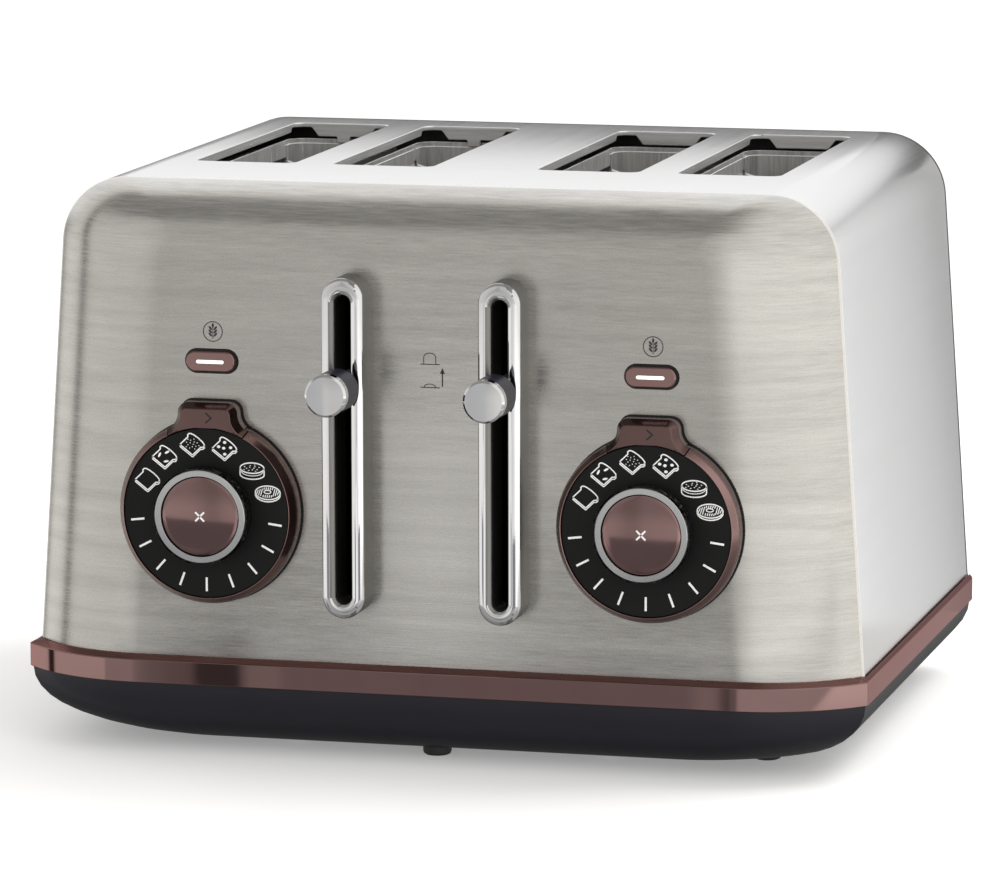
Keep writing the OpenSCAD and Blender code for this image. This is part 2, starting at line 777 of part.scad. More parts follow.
module chamber_front() {
    color(steel) difference() {
        union() {
            chamber_sheet(chamber_y0 - 1.5, chamber_z);
            // shelf that holds the tops of the guide rods
            span([-104, rod_y - 8, 199], [104, chamber_y0 - 1.5, 202]);
        }
        for (x = slots) span([x - 4.5, -40, 40], [x + 4.5, 0, 168]);
        for (x = rods, s = [-1, 1])
            translate([s * x, rod_y, 190]) cylinder(r = rod_radius + 0.05, h = 20);
    }
}

module chamber_rear() {
    color(steel) chamber_sheet(chamber_y1, chamber_z);
}

// sheet under the top, with a raised rim and a collar round each slot
module chamber_top() {
    step = rim_top - 1.9;
    low = guide_top + 3;
    middle = (slot_inner + slot_outer) / 2;
    wall = (slot_outer - slot_inner) / 2 - slot_width / 2 - 2.5;
    color(bright_steel) {
        difference() {
            union() {
                span([-chamber_half, chamber_y0 - 1.5, chamber_z],
                     [chamber_half, chamber_y1 + 1.5, chamber_z + 1.2]);
                translate([0, 0, chamber_z]) linear_extrude(rim_top - chamber_z) slot_plan(3.4);
            }
            translate([0, 0, chamber_z - 1]) linear_extrude(20) slot_plan(2.4);
        }
        // collars that close off the slots' ends
        difference() {
            translate([0, 0, low]) linear_extrude(step - low) slot_plan(2.5);
            translate([0, 0, low - 1]) linear_extrude(30) slot_plan(1.8);
            span([-200, slot_front + 8, low - 1], [200, slot_back - 8, body_height]);
        }
        both_sides() {
            // deflectors between the slots of a pair
            for (g = [-1, 1])
                span([middle + g * wall - 0.35, slot_front + 12, chamber_z - 3],
                     [middle + g * wall + 0.35, slot_back - 10.5, step]);
            // pins that stop the guides
            for (x = [slot_inner, slot_outer], g = [-1, 1])
                translate([x, slot_back - 6.6, rim_top - 9.6]) mirror([g < 0 ? 1 : 0, 0, 0])
                    rotate([12, 0, 0]) translate([slot_width / 2 - 2.4, 0, -0.8])
                        rotate([0, 72, 0]) cylinder(r = 0.8, h = 4.9, $fn = 24);
        }
    }
}

module reflectors() {
    y0 = chamber_y0 + 0.05;
    y1 = chamber_y1 - 0.05;
    color(bright_steel) both_sides() {
        span([128.5, y0, 31], [129.5, y1, chamber_z - 0.1]);
        span([7.5, y0, 31], [8.5, y1, chamber_z - 0.1]);
    }
}

module heater_boards() {
    y0 = chamber_y0 + 0.05;
    y1 = chamber_y1 - 0.05;
    mid = (slot_inner + slot_outer) / 2;
    gap = (slot_outer - slot_inner) / 2;
    color(mica) both_sides() for (x = [slot_inner - gap, mid, slot_outer + gap])
        span([x - 0.5, y0, 45], [x + 0.5, y1, chamber_z - 8]);
}

// wire frame that centres the bread; its bottom rail turns in the end sheets
module bread_guide(slot, g) {
    x = slots[slot] + g * guide_offset;
    y0 = chamber_y0 + 5;
    y1 = chamber_y1 - 5;
    color(bright_steel) translate([x, 0, 0]) {
        for (y = [chamber_y0 - 2.4, y1 - 1]) translate([0, y, hinge_z]) rotate([-90, 0, 0])
            cylinder(r = 1.25, h = chamber_y1 + 3.4 - y1, $fn = 32);
        span([-1.2, y0, hinge_z - 1.2], [1.2, y1, hinge_z + 1.2]);
        span([-1.2, y0, guide_top - 1.2], [1.2, y1, guide_top + 1.2]);
        for (k = [0:8]) translate([0, y0 + 1 + k * (y1 - y0 - 2) / 8, 0])
            span([-0.9, -0.9, hinge_z], [0.9, 0.9, guide_top]);
    }
}

module crumb_tray(s) {
    color(steel) side(s) difference() {
        union() {
            span([20, -24, 16.3], [126, 134, 24]);
            span([19, 132.4, 16.4], [127, 134.4, 26.4]);
            span([48, 134.4, 17.4], [98, 139.6, 19]);
        }
        span([20.8, -23.2, 17.1], [125.2, 132.4, 30]);
    }
}

// ---------- electrics ----------

module control_boards() {
    color(board_green) both_sides() {
        difference() {
            union() {
                span([46, board_y, 52], [118, board_y + 1.6, 176]);
                on_panel(dial_x, dial_z) translate([0, 0, -13.6]) cylinder(r = 9, h = 5.8);
            }
            on_panel(dial_x, dial_z) translate([0, 0, -12.8]) cylinder(r = 3.6, h = 20);
        }
        for (x = [50, 113], z = [56, 172])
            on_panel(x, z) translate([0, 0, -13.55]) cylinder(r = 2.5, h = 13.5 - sheet);
        span([60, board_y + 1.5, 140], [74, board_y + 8, 154]);
        span([88, board_y + 1.5, 140], [110, board_y + 6, 148]);
    }
}

module power_board() {
    y = front_y;
    z = trim_z;
    color(board_green) {
        span([-99, y + 8.5, z], [99, y + 36, z + 1.6]);
        span([-80, y + 11.5, z + 1.5], [-44, y + 34, z + 22]);
        span([44, y + 13.5, z + 1.5], [66, y + 29.5, z + 17]);
        span([72, y + 13.5, z + 1.5], [90, y + 29.5, z + 17]);
        for (x = [-26, -10]) translate([x, y + 23.5, z + 1.5]) cylinder(r = 6, h = 18);
    }
}

// rear inlet for the mains lead
module cord_gland() {
    color(rubber) translate([gland_x, rear_face, gland_z]) rotate([90, 0, 0]) difference() {
        union() {
            translate([0, 0, -gland_reach]) cylinder(r = 11, h = gland_reach);
            cylinder(r = 8, h = 5);
        }
        translate([0, 0, -gland_reach - 2]) cylinder(r = 3.6, h = gland_reach + 10);
    }
}

// ---------- left and right pieces ----------

module trim_left() { trim_side(-1); }
module trim_right() { trim_side(1); }
module lever_bezel_left() { lever_bezel(-1); }
module lever_bezel_right() { lever_bezel(1); }
module lever_grip_left() { lever_grip(-1); }
module lever_grip_right() { lever_grip(1); }
module lever_cap_left() { lever_cap(-1); }
module lever_cap_right() { lever_cap(1); }
module dial_ring_left() { dial_ring(-1); }
module dial_ring_right() { dial_ring(1); }
module dial_face_left() { dial_face(-1); }
module dial_face_right() { dial_face(1); }
module browning_knob_left() { browning_knob(-1); }
module browning_knob_right() { browning_knob(1); }
module cancel_button_left() { cancel_button(-1); }
module cancel_button_right() { cancel_button(1); }
module select_button_left() { select_button(-1); }
module select_button_right() { select_button(1); }
module preset_button_left() { preset_button(-1); }
module preset_button_right() { preset_button(1); }
module carriage_left() { carriage(-1); }
module carriage_right() { carriage(1); }
module bread_rack_left() { bread_rack(-1); }
module bread_rack_right() { bread_rack(1); }
module lift_spring_left() { lift_spring(-1); }
module lift_spring_right() { lift_spring(1); }
module bread_guide_1a() { bread_guide(0, -1); }
module bread_guide_1b() { bread_guide(0, 1); }
module bread_guide_2a() { bread_guide(1, -1); }
module bread_guide_2b() { bread_guide(1, 1); }
module bread_guide_3a() { bread_guide(2, -1); }
module bread_guide_3b() { bread_guide(2, 1); }
module bread_guide_4a() { bread_guide(3, -1); }
module bread_guide_4b() { bread_guide(3, 1); }
module crumb_tray_left() { crumb_tray(-1); }
module crumb_tray_right() { crumb_tray(1); }

wrap_shell();
front_panel();
rear_panel();
base_tray();
trim_front();
trim_left();
trim_right();
feet();
base_screws();
lever_bezel_left();
lever_bezel_right();
lever_channels();
lever_grip_left();
lever_grip_right();
lever_cap_left();
lever_cap_right();
dial_ring_left();
dial_ring_right();
dial_face_left();
dial_face_right();
browning_knob_left();
browning_knob_right();
cancel_button_left();
cancel_button_right();
select_button_left();
select_button_right();
preset_button_left();
preset_button_right();
carriage_left();
carriage_right();
bread_rack_left();
bread_rack_right();
lift_spring_left();
lift_spring_right();
guide_rods();
latch_magnets();
chamber_front();
chamber_rear();
chamber_top();
reflectors();
heater_boards();
bread_guide_1a();
bread_guide_1b();
bread_guide_2a();
bread_guide_2b();
bread_guide_3a();
bread_guide_3b();
bread_guide_4a();
bread_guide_4b();
crumb_tray_left();
crumb_tray_right();
control_boards();
power_board();
cord_gland();
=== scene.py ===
import json
import bmesh
import bpy
from math import acos, atan, atan2, cos, pi, radians, sin, sqrt, tan
from mathutils import Matrix, Quaternion, Vector

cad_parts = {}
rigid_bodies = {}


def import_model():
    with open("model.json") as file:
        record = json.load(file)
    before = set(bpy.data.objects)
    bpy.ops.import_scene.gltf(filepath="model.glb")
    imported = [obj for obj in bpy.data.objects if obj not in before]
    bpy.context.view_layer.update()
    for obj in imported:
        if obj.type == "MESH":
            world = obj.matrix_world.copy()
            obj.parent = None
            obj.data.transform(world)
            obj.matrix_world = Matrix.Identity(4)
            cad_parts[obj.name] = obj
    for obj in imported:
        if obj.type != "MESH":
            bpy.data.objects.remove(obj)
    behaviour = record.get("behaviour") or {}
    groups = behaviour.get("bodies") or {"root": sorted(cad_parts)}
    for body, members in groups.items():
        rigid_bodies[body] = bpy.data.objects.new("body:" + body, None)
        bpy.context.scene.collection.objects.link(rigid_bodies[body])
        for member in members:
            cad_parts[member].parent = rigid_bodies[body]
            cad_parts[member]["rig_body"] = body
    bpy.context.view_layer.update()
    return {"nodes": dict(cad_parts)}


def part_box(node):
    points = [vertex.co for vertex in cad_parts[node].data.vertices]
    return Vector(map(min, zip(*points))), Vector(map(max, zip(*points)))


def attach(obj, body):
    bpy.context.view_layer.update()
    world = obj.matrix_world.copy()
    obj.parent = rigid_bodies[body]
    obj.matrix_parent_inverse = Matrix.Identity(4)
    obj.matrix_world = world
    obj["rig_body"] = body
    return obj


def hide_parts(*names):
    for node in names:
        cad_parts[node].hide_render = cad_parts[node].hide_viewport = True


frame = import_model()
scene = bpy.context.scene
scene.view_settings.view_transform = "Standard"
mm = 0.001
print("frame loaded")

camera = {"azimuth": 14.423, "elevation": 9.165, "roll": -0.113, "distance": 2.395,
          "aim": (0, 0, 0.108), "lens": 219.51}


def newObject(name, data):
    piece = bpy.data.objects.new(name, data)
    scene.collection.objects.link(piece)
    return piece


def makeCamera(values):
    data = bpy.data.cameras.new("camera")
    data.sensor_width = 36
    data.lens = values["lens"]
    data.clip_start, data.clip_end = 0.05, 60
    turn, lift = radians(values["azimuth"]), radians(values["elevation"])
    back = Vector((sin(turn) * cos(lift), -cos(turn) * cos(lift), sin(lift)))
    piece = newObject("camera", data)
    piece.location = Vector(values["aim"]) + back * values["distance"]
    piece.rotation_mode = "QUATERNION"
    level = (-back).to_track_quat("-Z", "Y")
    piece.rotation_quaternion = level @ Quaternion((0, 0, 1), radians(values["roll"]))
    scene.camera = piece


makeCamera(camera)
print("camera placed")


# small helpers for node trees
def join(tree, source, target):
    tree.links.new(source, target)


def feed(tree, socket, value):
    if isinstance(value, bpy.types.NodeSocket):
        join(tree, value, socket)
    else:
        socket.default_value = value


def addNode(tree, kind, inputs=None, **settings):
    node = tree.nodes.new(kind)
    for name, value in settings.items():
        setattr(node, name, value)
    for name, value in (inputs or {}).items():
        feed(tree, node.inputs[name], value)
    return node


def result(tree, kind, inputs=None, **settings):
    return addNode(tree, kind, inputs, **settings).outputs[0]


def calc(tree, operation, first, second=0.0):
    return result(tree, "ShaderNodeMath", {0: first, 1: second}, operation=operation)


def vector(tree, x=0.0, y=0.0, z=0.0):
    return result(tree, "ShaderNodeCombineXYZ", {0: x, 1: y, 2: z})


def spread(tree, value, low, high, toLow=0.0, toHigh=1.0):
    return result(tree, "ShaderNodeMapRange", {0: value, 1: low, 2: high, 3: toLow, 4: toHigh})


def noise(tree, where, scale, detail, roughness=0.5, distortion=0.0):
    return result(tree, "ShaderNodeTexNoise", {"Vector": where, "Scale": scale, "Detail": detail,
                                               "Roughness": roughness, "Distortion": distortion})


def rgba(tone):
    # a grey or a colour as four values
    return (*tone, 1) if hasattr(tone, "__len__") else (tone, tone, tone, 1)


def ramp(tree, factor, stops):
    node = addNode(tree, "ShaderNodeValToRGB", {0: factor})
    keys = node.color_ramp.elements
    while len(keys) < len(stops):
        keys.new(0.5)
    for key, (place, tone) in zip(keys, stops):
        key.position = place
        key.color = rgba(tone)
    return node.outputs[0]


def blendColours(tree, factor, first, second, mode="MIX"):
    node = addNode(tree, "ShaderNodeMix", data_type="RGBA", blend_type=mode)
    feed(tree, node.inputs[0], factor)
    for socket, tone in ((node.inputs[6], first), (node.inputs[7], second)):
        feed(tree, socket, tone if isinstance(tone, bpy.types.NodeSocket) else rgba(tone))
    return node.outputs[2]


def newTree(name, kind, inputs, outputs):
    # a node group with named sockets
    tree = bpy.data.node_groups.new(name, kind + "NodeTree")
    for way, sockets in (("INPUT", inputs), ("OUTPUT", outputs)):
        for label, sort in sockets.items():
            tree.interface.new_socket(label, in_out=way, socket_type="NodeSocket" + sort)
    return tree, tree.nodes.new("NodeGroupInput"), tree.nodes.new("NodeGroupOutput")


def emptyTree(owner):
    owner.use_nodes = True
    owner.node_tree.nodes.clear()
    return owner.node_tree


def spotOf(tree, kind):
    return addNode(tree, "ShaderNodeTexCoord").outputs[kind]


def seenDirectly(tree):
    return addNode(tree, "ShaderNodeLightPath").outputs["Is Camera Ray"]


# a pale floor, and a world that gives each direction its tone
studio = {
    "floorTone": 0.86, "floorLift": 0.26, "floorReach": 8,
    # degrees round from the front (right is positive) and the tone at the horizon there
    "horizon": [(-180, 0.5), (-165, 0.3), (-120, 0.3), (-115, 1.1), (-92, 1.1), (-90.5, 0.06), (-85.5, 0.06),
                (-84, 1.03), (-34, 1.0), (-26, 0.93), (-19, 0.86), (-17, 0.76), (-15.5, 0.63), (-13.9, 0.63),
                (-13, 0.76), (-12, 0.82), (-9.6, 0.84), (-6, 0.88), (2, 1.14), (9, 1.46), (60, 1.5),
                (95, 1.43), (104, 1.0), (120, 0.8), (150, 0.6), (180, 0.5)],
    # degrees up from the front and over the top to the back
    "arch": [(0, 0.85), (24, 0.85), (36, 0.4), (88, 0.44), (100, 1.15), (146, 1.15), (160, 0.6), (180, 0.5)],
    # heights between which the arch takes over from the horizon
    "archRise": (0.2, 0.5),
    # places along x between which an even tone takes over from the arch
    "evenRise": (0.05, 0.42), "evenTone": 1.3,
    # share that is left below the horizon, by the sine of the angle
    "below": [(0, 0.7), (0.1, 0.7), (0.14, 1.0), (0.21, 1.0), (0.222, 0.55), (0.3, 0.4), (0.5, 0.3),
              (1, 0.2)],
    "glow": 1.4, "tint": (1.0, 0.985, 0.955),
}


def makeWorld(values):
    scene.world = bpy.data.worlds.new("studio")
    tree = emptyTree(scene.world)
    x, y, z = addNode(tree, "ShaderNodeSeparateXYZ", {0: spotOf(tree, "Generated")}).outputs
    forward = calc(tree, "MULTIPLY", y, -1.0)
    turn = calc(tree, "ADD", calc(tree, "DIVIDE", calc(tree, "ARCTAN2", x, forward), 2 * pi), 0.5)
    horizon = ramp(tree, turn, [((a + 180) / 360, tone) for a, tone in values["horizon"]])
    lift = calc(tree, "DIVIDE", calc(tree, "ARCTAN2", calc(tree, "MAXIMUM", z, 0.0), forward), pi)
    arch = ramp(tree, lift, [(a / 180, tone) for a, tone in values["arch"]])
    arch = blendColours(tree, spread(tree, x, *values["evenRise"]), arch, values["evenTone"])
    below = ramp(tree, calc(tree, "MULTIPLY", z, -1.0), values["below"])
    tone = blendColours(tree, spread(tree, z, *values["archRise"]), horizon, arch)
    for share in (below, values["tint"]):
        tone = blendColours(tree, 1.0, tone, share, "MULTIPLY")
    plain = result(tree, "ShaderNodeBackground", {"Color": tone, "Strength": values["glow"]})
    white = result(tree, "ShaderNodeBackground", {"Color": rgba(1), "Strength": 1.0})
    both = result(tree, "ShaderNodeMixShader", {0: seenDirectly(tree), 1: plain, 2: white})
    addNode(tree, "ShaderNodeOutputWorld", {0: both})


def stagePlane(name, corners, material):
    mesh = bpy.data.meshes.new(name)
    mesh.from_pydata(corners, [], [(0, 1, 2, 3)])
    mesh.materials.append(material)
    plane = newObject(name, mesh)
    return plane


def makeFloor(values):
    material = bpy.data.materials.new("paleFloor")
    tree = emptyTree(material)
    matt = result(tree, "ShaderNodeBsdfDiffuse", {"Color": rgba(values["floorTone"])})
    seen = calc(tree, "MULTIPLY", seenDirectly(tree), values["floorLift"])
    glow = result(tree, "ShaderNodeEmission", {"Color": rgba(1), "Strength": seen})
    addNode(tree, "ShaderNodeOutputMaterial", {0: result(tree, "ShaderNodeAddShader", {0: matt, 1: glow})})
    reach = values["floorReach"]
    corners = [(-reach, -reach, 0), (reach, -reach, 0), (reach, reach, 0), (-reach, reach, 0)]
    stagePlane("floor", corners, material).visible_glossy = False


# upright cards that only reflections show: places in metres, then tones along x or z
def card(x, y, z, tones, along="X"):
    return {"x": x, "y": y, "z": z, "tones": tones, "along": along}


cards = {
    "rearCard": card((-1.0, 1.0), 0.2, (0.222, 1.0), [
        (0.222, 0.15), (0.2263, 0.2), (0.2308, 0.28), (0.2354, 0.42), (0.2395, 0.66), (0.2414, 1.0),
        (0.245, 1.08), (0.285, 1.08), (0.31, 1.38), (1.0, 1.38)], "Z"),
    "rightCard": card((0.165, 0.8), 0.198, (0.011, 0.236), [
        (0.165, 0.42), (0.1737, 0.53), (0.1783, 0.59), (0.1855, 0.68), (0.1932, 0.74), (0.2016, 0.79),
        (0.215, 0.85), (0.235, 1.05), (0.26, 1.58), (0.8, 1.64)]),
    "cornerCard": card((0.112, 0.24), 0.199, (0.222, 0.262), [
        (0.222, 0.08), (0.2308, 0.16), (0.2354, 0.34), (0.2405, 0.72), (0.25, 0.95), (0.262, 1.05)], "Z"),
    "leftDialCard": card((-0.25, -0.126), -0.45, (-0.014, 0.031), [(-0.25, 0.4), (-0.126, 0.4)]),
    "rightDialCard": card((-0.04, 0.075), -0.45, (-0.014, 0.031), [(-0.04, 0.4), (0.075, 0.4)]),
    "leftCapCard": card((-0.145, -0.121), -0.45, (0.07, 0.135), [(-0.145, 0.72), (-0.121, 0.78)]),
    "rightCapCard": card((-0.071, -0.047), -0.45, (0.07, 0.135), [(-0.071, 0.72), (-0.047, 0.78)]),
    "middleCard": card((-0.095, -0.025), -0.35, (0.008, 0.07), [
        (-0.095, 0.9), (-0.068, 1.5), (-0.052, 1.5), (-0.025, 0.9)]),
    "trimCard": card((-0.2, 0.5), -0.2, (0.0, 0.028), [
        (-0.2, 0.9), (-0.146, 0.9), (-0.142, 0.57), (-0.128, 0.4), (-0.119, 0.38), (-0.118, 0.14),
        (-0.0995, 0.14), (-0.0985, 0.66), (-0.084, 0.66), (-0.083, 0.53), (0.082, 0.53), (0.086, 0.7),
        (0.094, 0.7), (0.095, 0.26), (0.1, 0.26), (0.101, 0.46), (0.11, 0.46), (0.112, 1.08), (0.5, 1.08)]),
}


def makeCard(name, values):
    material = bpy.data.materials.new(name)
    tree = emptyTree(material)
    tones = values["tones"]
    first, last = tones[0][0], tones[-1][0]
    spot = addNode(tree, "ShaderNodeSeparateXYZ", {0: spotOf(tree, "Object")}).outputs[values["along"]]
    stops = [((place - first) / (last - first), level) for place, level in tones]
    tone = ramp(tree, spread(tree, spot, first, last), stops)
    glow = result(tree, "ShaderNodeEmission", {"Color": tone, "Strength": 1.0})
    addNode(tree, "ShaderNodeOutputMaterial", {0: glow})
    (x0, x1), y, (z0, z1) = values["x"], values["y"], values["z"]
    plane = stagePlane(name, [(x0, y, z0), (x1, y, z0), (x1, y, z1), (x0, y, z1)], material)
    plane.visible_camera = plane.visible_diffuse = False
    plane.visible_shadow = plane.visible_transmission = False


lamps = {
    "overhead": {"place": (0.85, 0.5, 1.4), "aim": (0, 0, 0.1), "size": (1.0, 0.8), "power": 11.0},
    "front": {"place": (-0.5, -1.9, 1.1), "aim": (0, 0, 0.1), "size": (1.6, 1.2), "power": 5.0},
}


def makeLamp(name, values):
    data = bpy.data.lights.new(name, "AREA")
    data.shape = "RECTANGLE"
    data.size, data.size_y = values["size"]
    data.energy = values["power"]
    lamp = newObject(name, data)
    lamp.location = values["place"]
    lamp.rotation_mode = "QUATERNION"
    way = Vector(values["aim"]) - Vector(values["place"])
    lamp.rotation_quaternion = way.to_track_quat("-Z", "Y")
    lamp.visible_camera = lamp.visible_glossy = False


makeWorld(studio)
makeFloor(studio)
for name, values in cards.items():
    makeCard(name, values)
for name, values in lamps.items():
    makeLamp(name, values)
print("studio ready")


# finishes
brushing = {"detail": (3.0, 2.0), "roughness": 0.62, "span": (0.3, 0.7), "shares": (0.65, 0.35)}
handling = {"detail": 4.0, "roughness": 0.6, "distortion": 0.4, "span": (0.35, 0.7),
            "speckScale": 2600.0, "speckDetail": 2.0, "speckSpan": (0.3, 0.7)}


def brushedLines(values):
    # fine scratches along one axis, with slow bands between them
    inputs = {"Vector": "Vector", "Stretch": "Vector", "Band": "Vector"}
    group, start, end = newTree("brushedLines", "Shader", inputs, {"Line": "Float", "Tone": "Float"})
    where, stretch, band = (start.outputs[label] for label in inputs)
    fine, slow = (result(group, "ShaderNodeVectorMath", {0: where, 1: scale}, operation="MULTIPLY")
                  for scale in (stretch, band))
    fineDetail, slowDetail = values["detail"]
    line = spread(group, noise(group, fine, 1.0, fineDetail, values["roughness"]), *values["span"])
    band = spread(group, noise(group, slow, 1.0, slowDetail), *values["span"])
    both = [calc(group, "MULTIPLY", part, share) for part, share in zip((line, band), values["shares"])]
    join(group, line, end.inputs["Line"])
    join(group, calc(group, "ADD", *both), end.inputs["Tone"])
    return group


def handlingMarks(values):
    # soft smears and fine specks that change the gloss a little
    inputs = {"Vector": "Vector", "Size": "Float"}
    group, start, end = newTree("handlingMarks", "Shader", inputs, {"Mask": "Float", "Speck": "Float"})
    where, size = (start.outputs[label] for label in inputs)
    smear = noise(group, where, size, values["detail"], values["roughness"], values["distortion"])
    speck = noise(group, where, values["speckScale"], values["speckDetail"])
    join(group, spread(group, smear, *values["span"]), end.inputs["Mask"])
    join(group, spread(group, speck, *values["speckSpan"]), end.inputs["Speck"])
    return group


lineGroup = brushedLines(brushing)
markGroup = handlingMarks(handling)


def useGroup(tree, group, inputs):
    return addNode(tree, "ShaderNodeGroup", inputs, node_tree=group).outputs


def startMaterial(name, values):
    material = bpy.data.materials.new(name)
    material.use_nodes = True
    tree = material.node_tree
    surface = tree.nodes["Principled BSDF"]
    for label, value in values["plain"].items():
        surface.inputs[label].default_value = value
    return material, tree, surface.inputs, spotOf(tree, "Object")


def addBump(tree, surface, height, values):
    inputs = {"Height": height, "Distance": values["depth"], "Strength": values["bump"]}
    join(tree, result(tree, "ShaderNodeBump", inputs), surface["Normal"])


def brushedMetal(name, values):
    material, tree, surface, where = startMaterial(name, values)
    lines = useGroup(tree, lineGroup, {"Vector": where, "Stretch": values["stretch"], "Band": values["band"]})
    marks = useGroup(tree, markGroup, {"Vector": where, "Size": values["size"]})
    join(tree, blendColours(tree, lines["Tone"], values["low"], values["high"]), surface["Base Color"])
    rough = spread(tree, lines["Line"], 0, 1, *values["rough"])
    smear = calc(tree, "MULTIPLY", marks["Mask"], values["smear"])
    join(tree, calc(tree, "ADD", rough, smear), surface["Roughness"])
    addBump(tree, surface, lines["Line"], values)
    if "pull" in values:
        # scratches along one direction spread the reflection across it
        surface["Anisotropic"].default_value = values["pull"]
        surface["Anisotropic Rotation"].default_value = values["pullTurn"]
        around = result(tree, "ShaderNodeTangent", direction_type="RADIAL", axis="Z")
        join(tree, around, surface["Tangent"])
    return material


def evenSurface(name, values):
    material, tree, surface, where = startMaterial(name, values)
    marks = useGroup(tree, markGroup, {"Vector": where, "Size": values["size"]})
    join(tree, blendColours(tree, marks["Mask"], values["low"], values["high"]), surface["Base Color"])
    join(tree, spread(tree, marks[values["glossBy"]], 0, 1, *values["rough"]), surface["Roughness"])
    addBump(tree, surface, marks["Speck"], values)
    return material


def look(low, high, rough, **more):
    # the darkest and the lightest tone, the range of roughness, and what differs from its kind
    return {"low": low, "high": high, "rough": rough, **more}


# what each kind of finish starts from, then its rows
finishKinds = (
    (brushedMetal, {"size": 14.0, "smear": 0.03, "pullTurn": 0.25}, {"Metallic": 1.0}, {
        "brushedFront": look((0.365, 0.356, 0.336), (0.55, 0.538, 0.511), (0.2, 0.3), pull=0.6,
            stretch=(85, 85, 1750), band=(12, 12, 230), depth=0.00003, bump=0.3),
        # a lighter, less metallic copy of the front's steel: painted highlight along the seam with the wrap
        "panelLip": look((0.58, 0.565, 0.53), (0.64, 0.625, 0.585), (0.28, 0.34), stretch=(85, 85, 1500),
            band=(9, 9, 170), depth=0.00001, bump=0.05, plain={"Metallic": 0.7}),
        "satinWrap": look(0.69, 0.71, (0.13, 0.16), stretch=(500, 6, 500), band=(60, 1, 60), depth=0.00001,
            bump=0.015, plain={"Metallic": 0.94}),
        # a darker, less metallic copy of the wrap's steel for the walls down into the slots: painted shade
        "slotFlap": look(0.42, 0.66, (0.2, 0.26), stretch=(30, 30, 900), band=(6, 6, 60), depth=0.00001,
            bump=0.05, plain={"Metallic": 0.5}),
        # a darker copy of the brushed front steel for the bezel sides and the funnel's far side: painted
        # shade
        "bezelSide": look((0.17, 0.168, 0.16), (0.27, 0.266, 0.255), (0.36, 0.46), stretch=(1200, 1200, 40),
            band=(120, 120, 6), depth=0.00002, bump=0.1),
        "innerSheet": look(0.36, (0.7, 0.7, 0.695), (0.2, 0.26), stretch=(900, 900, 50), band=(60, 60, 8),
            depth=0.00003, bump=0.2, plain={"Metallic": 0.55}),
        "trayMetal": look(0.5, (0.62, 0.62, 0.61), (0.3, 0.4), stretch=(50, 900, 900), band=(8, 60, 60),
            depth=0.00003, bump=0.2),
    }),
    (evenSurface, {"size": 40.0, "depth": 0.00002, "bump": 0.05, "glossBy": "Mask"}, {"Metallic": 1.0}, {
        "roseBronze": look((0.2, 0.124, 0.118), (0.215, 0.135, 0.128), (0.07, 0.11), bump=0.02,
            plain={"Specular Tint": (0.8, 0.58, 0.57, 1)}),
        # a darker, rougher copy of the rose bronze for the upright walls of the dial rings and buttons:
        # painted shade
        "roseBronzeEdge": look((0.115, 0.07, 0.066), (0.13, 0.08, 0.075), (0.24, 0.3), bump=0.02),
        "roseBronzeRing": look((0.25, 0.158, 0.15), (0.265, 0.168, 0.16), (0.2, 0.24), bump=0.02),
        "roseBronzeSatin": look((0.19, 0.12, 0.116), (0.2, 0.127, 0.123), (0.06, 0.085), bump=0.01),
        # a darker copy of the rose bronze for the select tab's face: painted shade
        "roseBronzeTab": look((0.11, 0.07, 0.066), (0.122, 0.077, 0.072), (0.12, 0.16), bump=0.01),
        # near-white and not metallic on a steel frame: painted highlight on the slot rims
        "slotRim": look(0.88, 0.95, (0.3, 0.36), plain={"Metallic": 0.0}),
        "polishedChrome": look((0.53, 0.532, 0.54), (0.57, 0.573, 0.58), (0.025, 0.055)),
        "satinChrome": look((0.42, 0.423, 0.43), (0.48, 0.483, 0.49), (0.2, 0.28)),
        "brightWire": look(0.7, (0.8, 0.8, 0.79), (0.15, 0.25)),
        "heaterRibbon": look((0.4, 0.37, 0.34), (0.5, 0.46, 0.42), (0.35, 0.45)),
    }),
    (evenSurface, {"size": 25.0, "depth": 0.00006, "bump": 0.25, "glossBy": "Speck"}, {"Metallic": 0.0}, {
        "charcoalBase": look((0.008, 0.0068, 0.013), (0.0102, 0.009, 0.0165), (0.34, 0.44),
            plain={"Specular IOR Level": 0.42}),
        "mattBlack": look(0.003, 0.0045, (0.5, 0.62), plain={"Specular IOR Level": 0.22}),
        "gripPlastic": look((0.016, 0.0155, 0.026), (0.02, 0.019, 0.032), (0.34, 0.44),
            plain={"Specular IOR Level": 0.25}),
        "knurledBlack": look(0.006, 0.01, (0.12, 0.2), bump=0.05),
        # near-black, for the painted shadow gaps round the dials and presets and for the printed select arrow
        "darkSeal": look((0.004, 0.004, 0.005), (0.006, 0.006, 0.007), (0.5, 0.6), bump=0.05),
        "rearPlastic": look((0.017, 0.017, 0.021), (0.024, 0.024, 0.028), (0.42, 0.55)),
        "footRubber": look((0.01, 0.01, 0.012), (0.016, 0.016, 0.018), (0.6, 0.75)),
        "micaBoard": look((0.36, 0.31, 0.22), (0.5, 0.45, 0.34), (0.4, 0.6), size=60.0),
        "circuitBoard": look((0.01, 0.06, 0.03), (0.015, 0.09, 0.045), (0.3, 0.4), bump=0.1),
        "whiteInk": look(0.86, 0.93, (0.4, 0.5), bump=0.05),
        "darkInk": look((0.012, 0.013, 0.016), (0.016, 0.017, 0.02), (0.4, 0.5), bump=0.05),
        "lightBar": look((0.92, 0.92, 0.9), (0.97, 0.97, 0.96), (0.3, 0.4), bump=0.05,
            plain={"Emission Color": (1, 1, 1, 1), "Emission Strength": 0.55}),
    }),
)
finish = {}
for makeFinish, usual, plain, rows in finishKinds:
    for name, row in rows.items():
        finish[name] = makeFinish(name, {**usual, **row, "plain": {**plain, **row.get("plain", {})}})
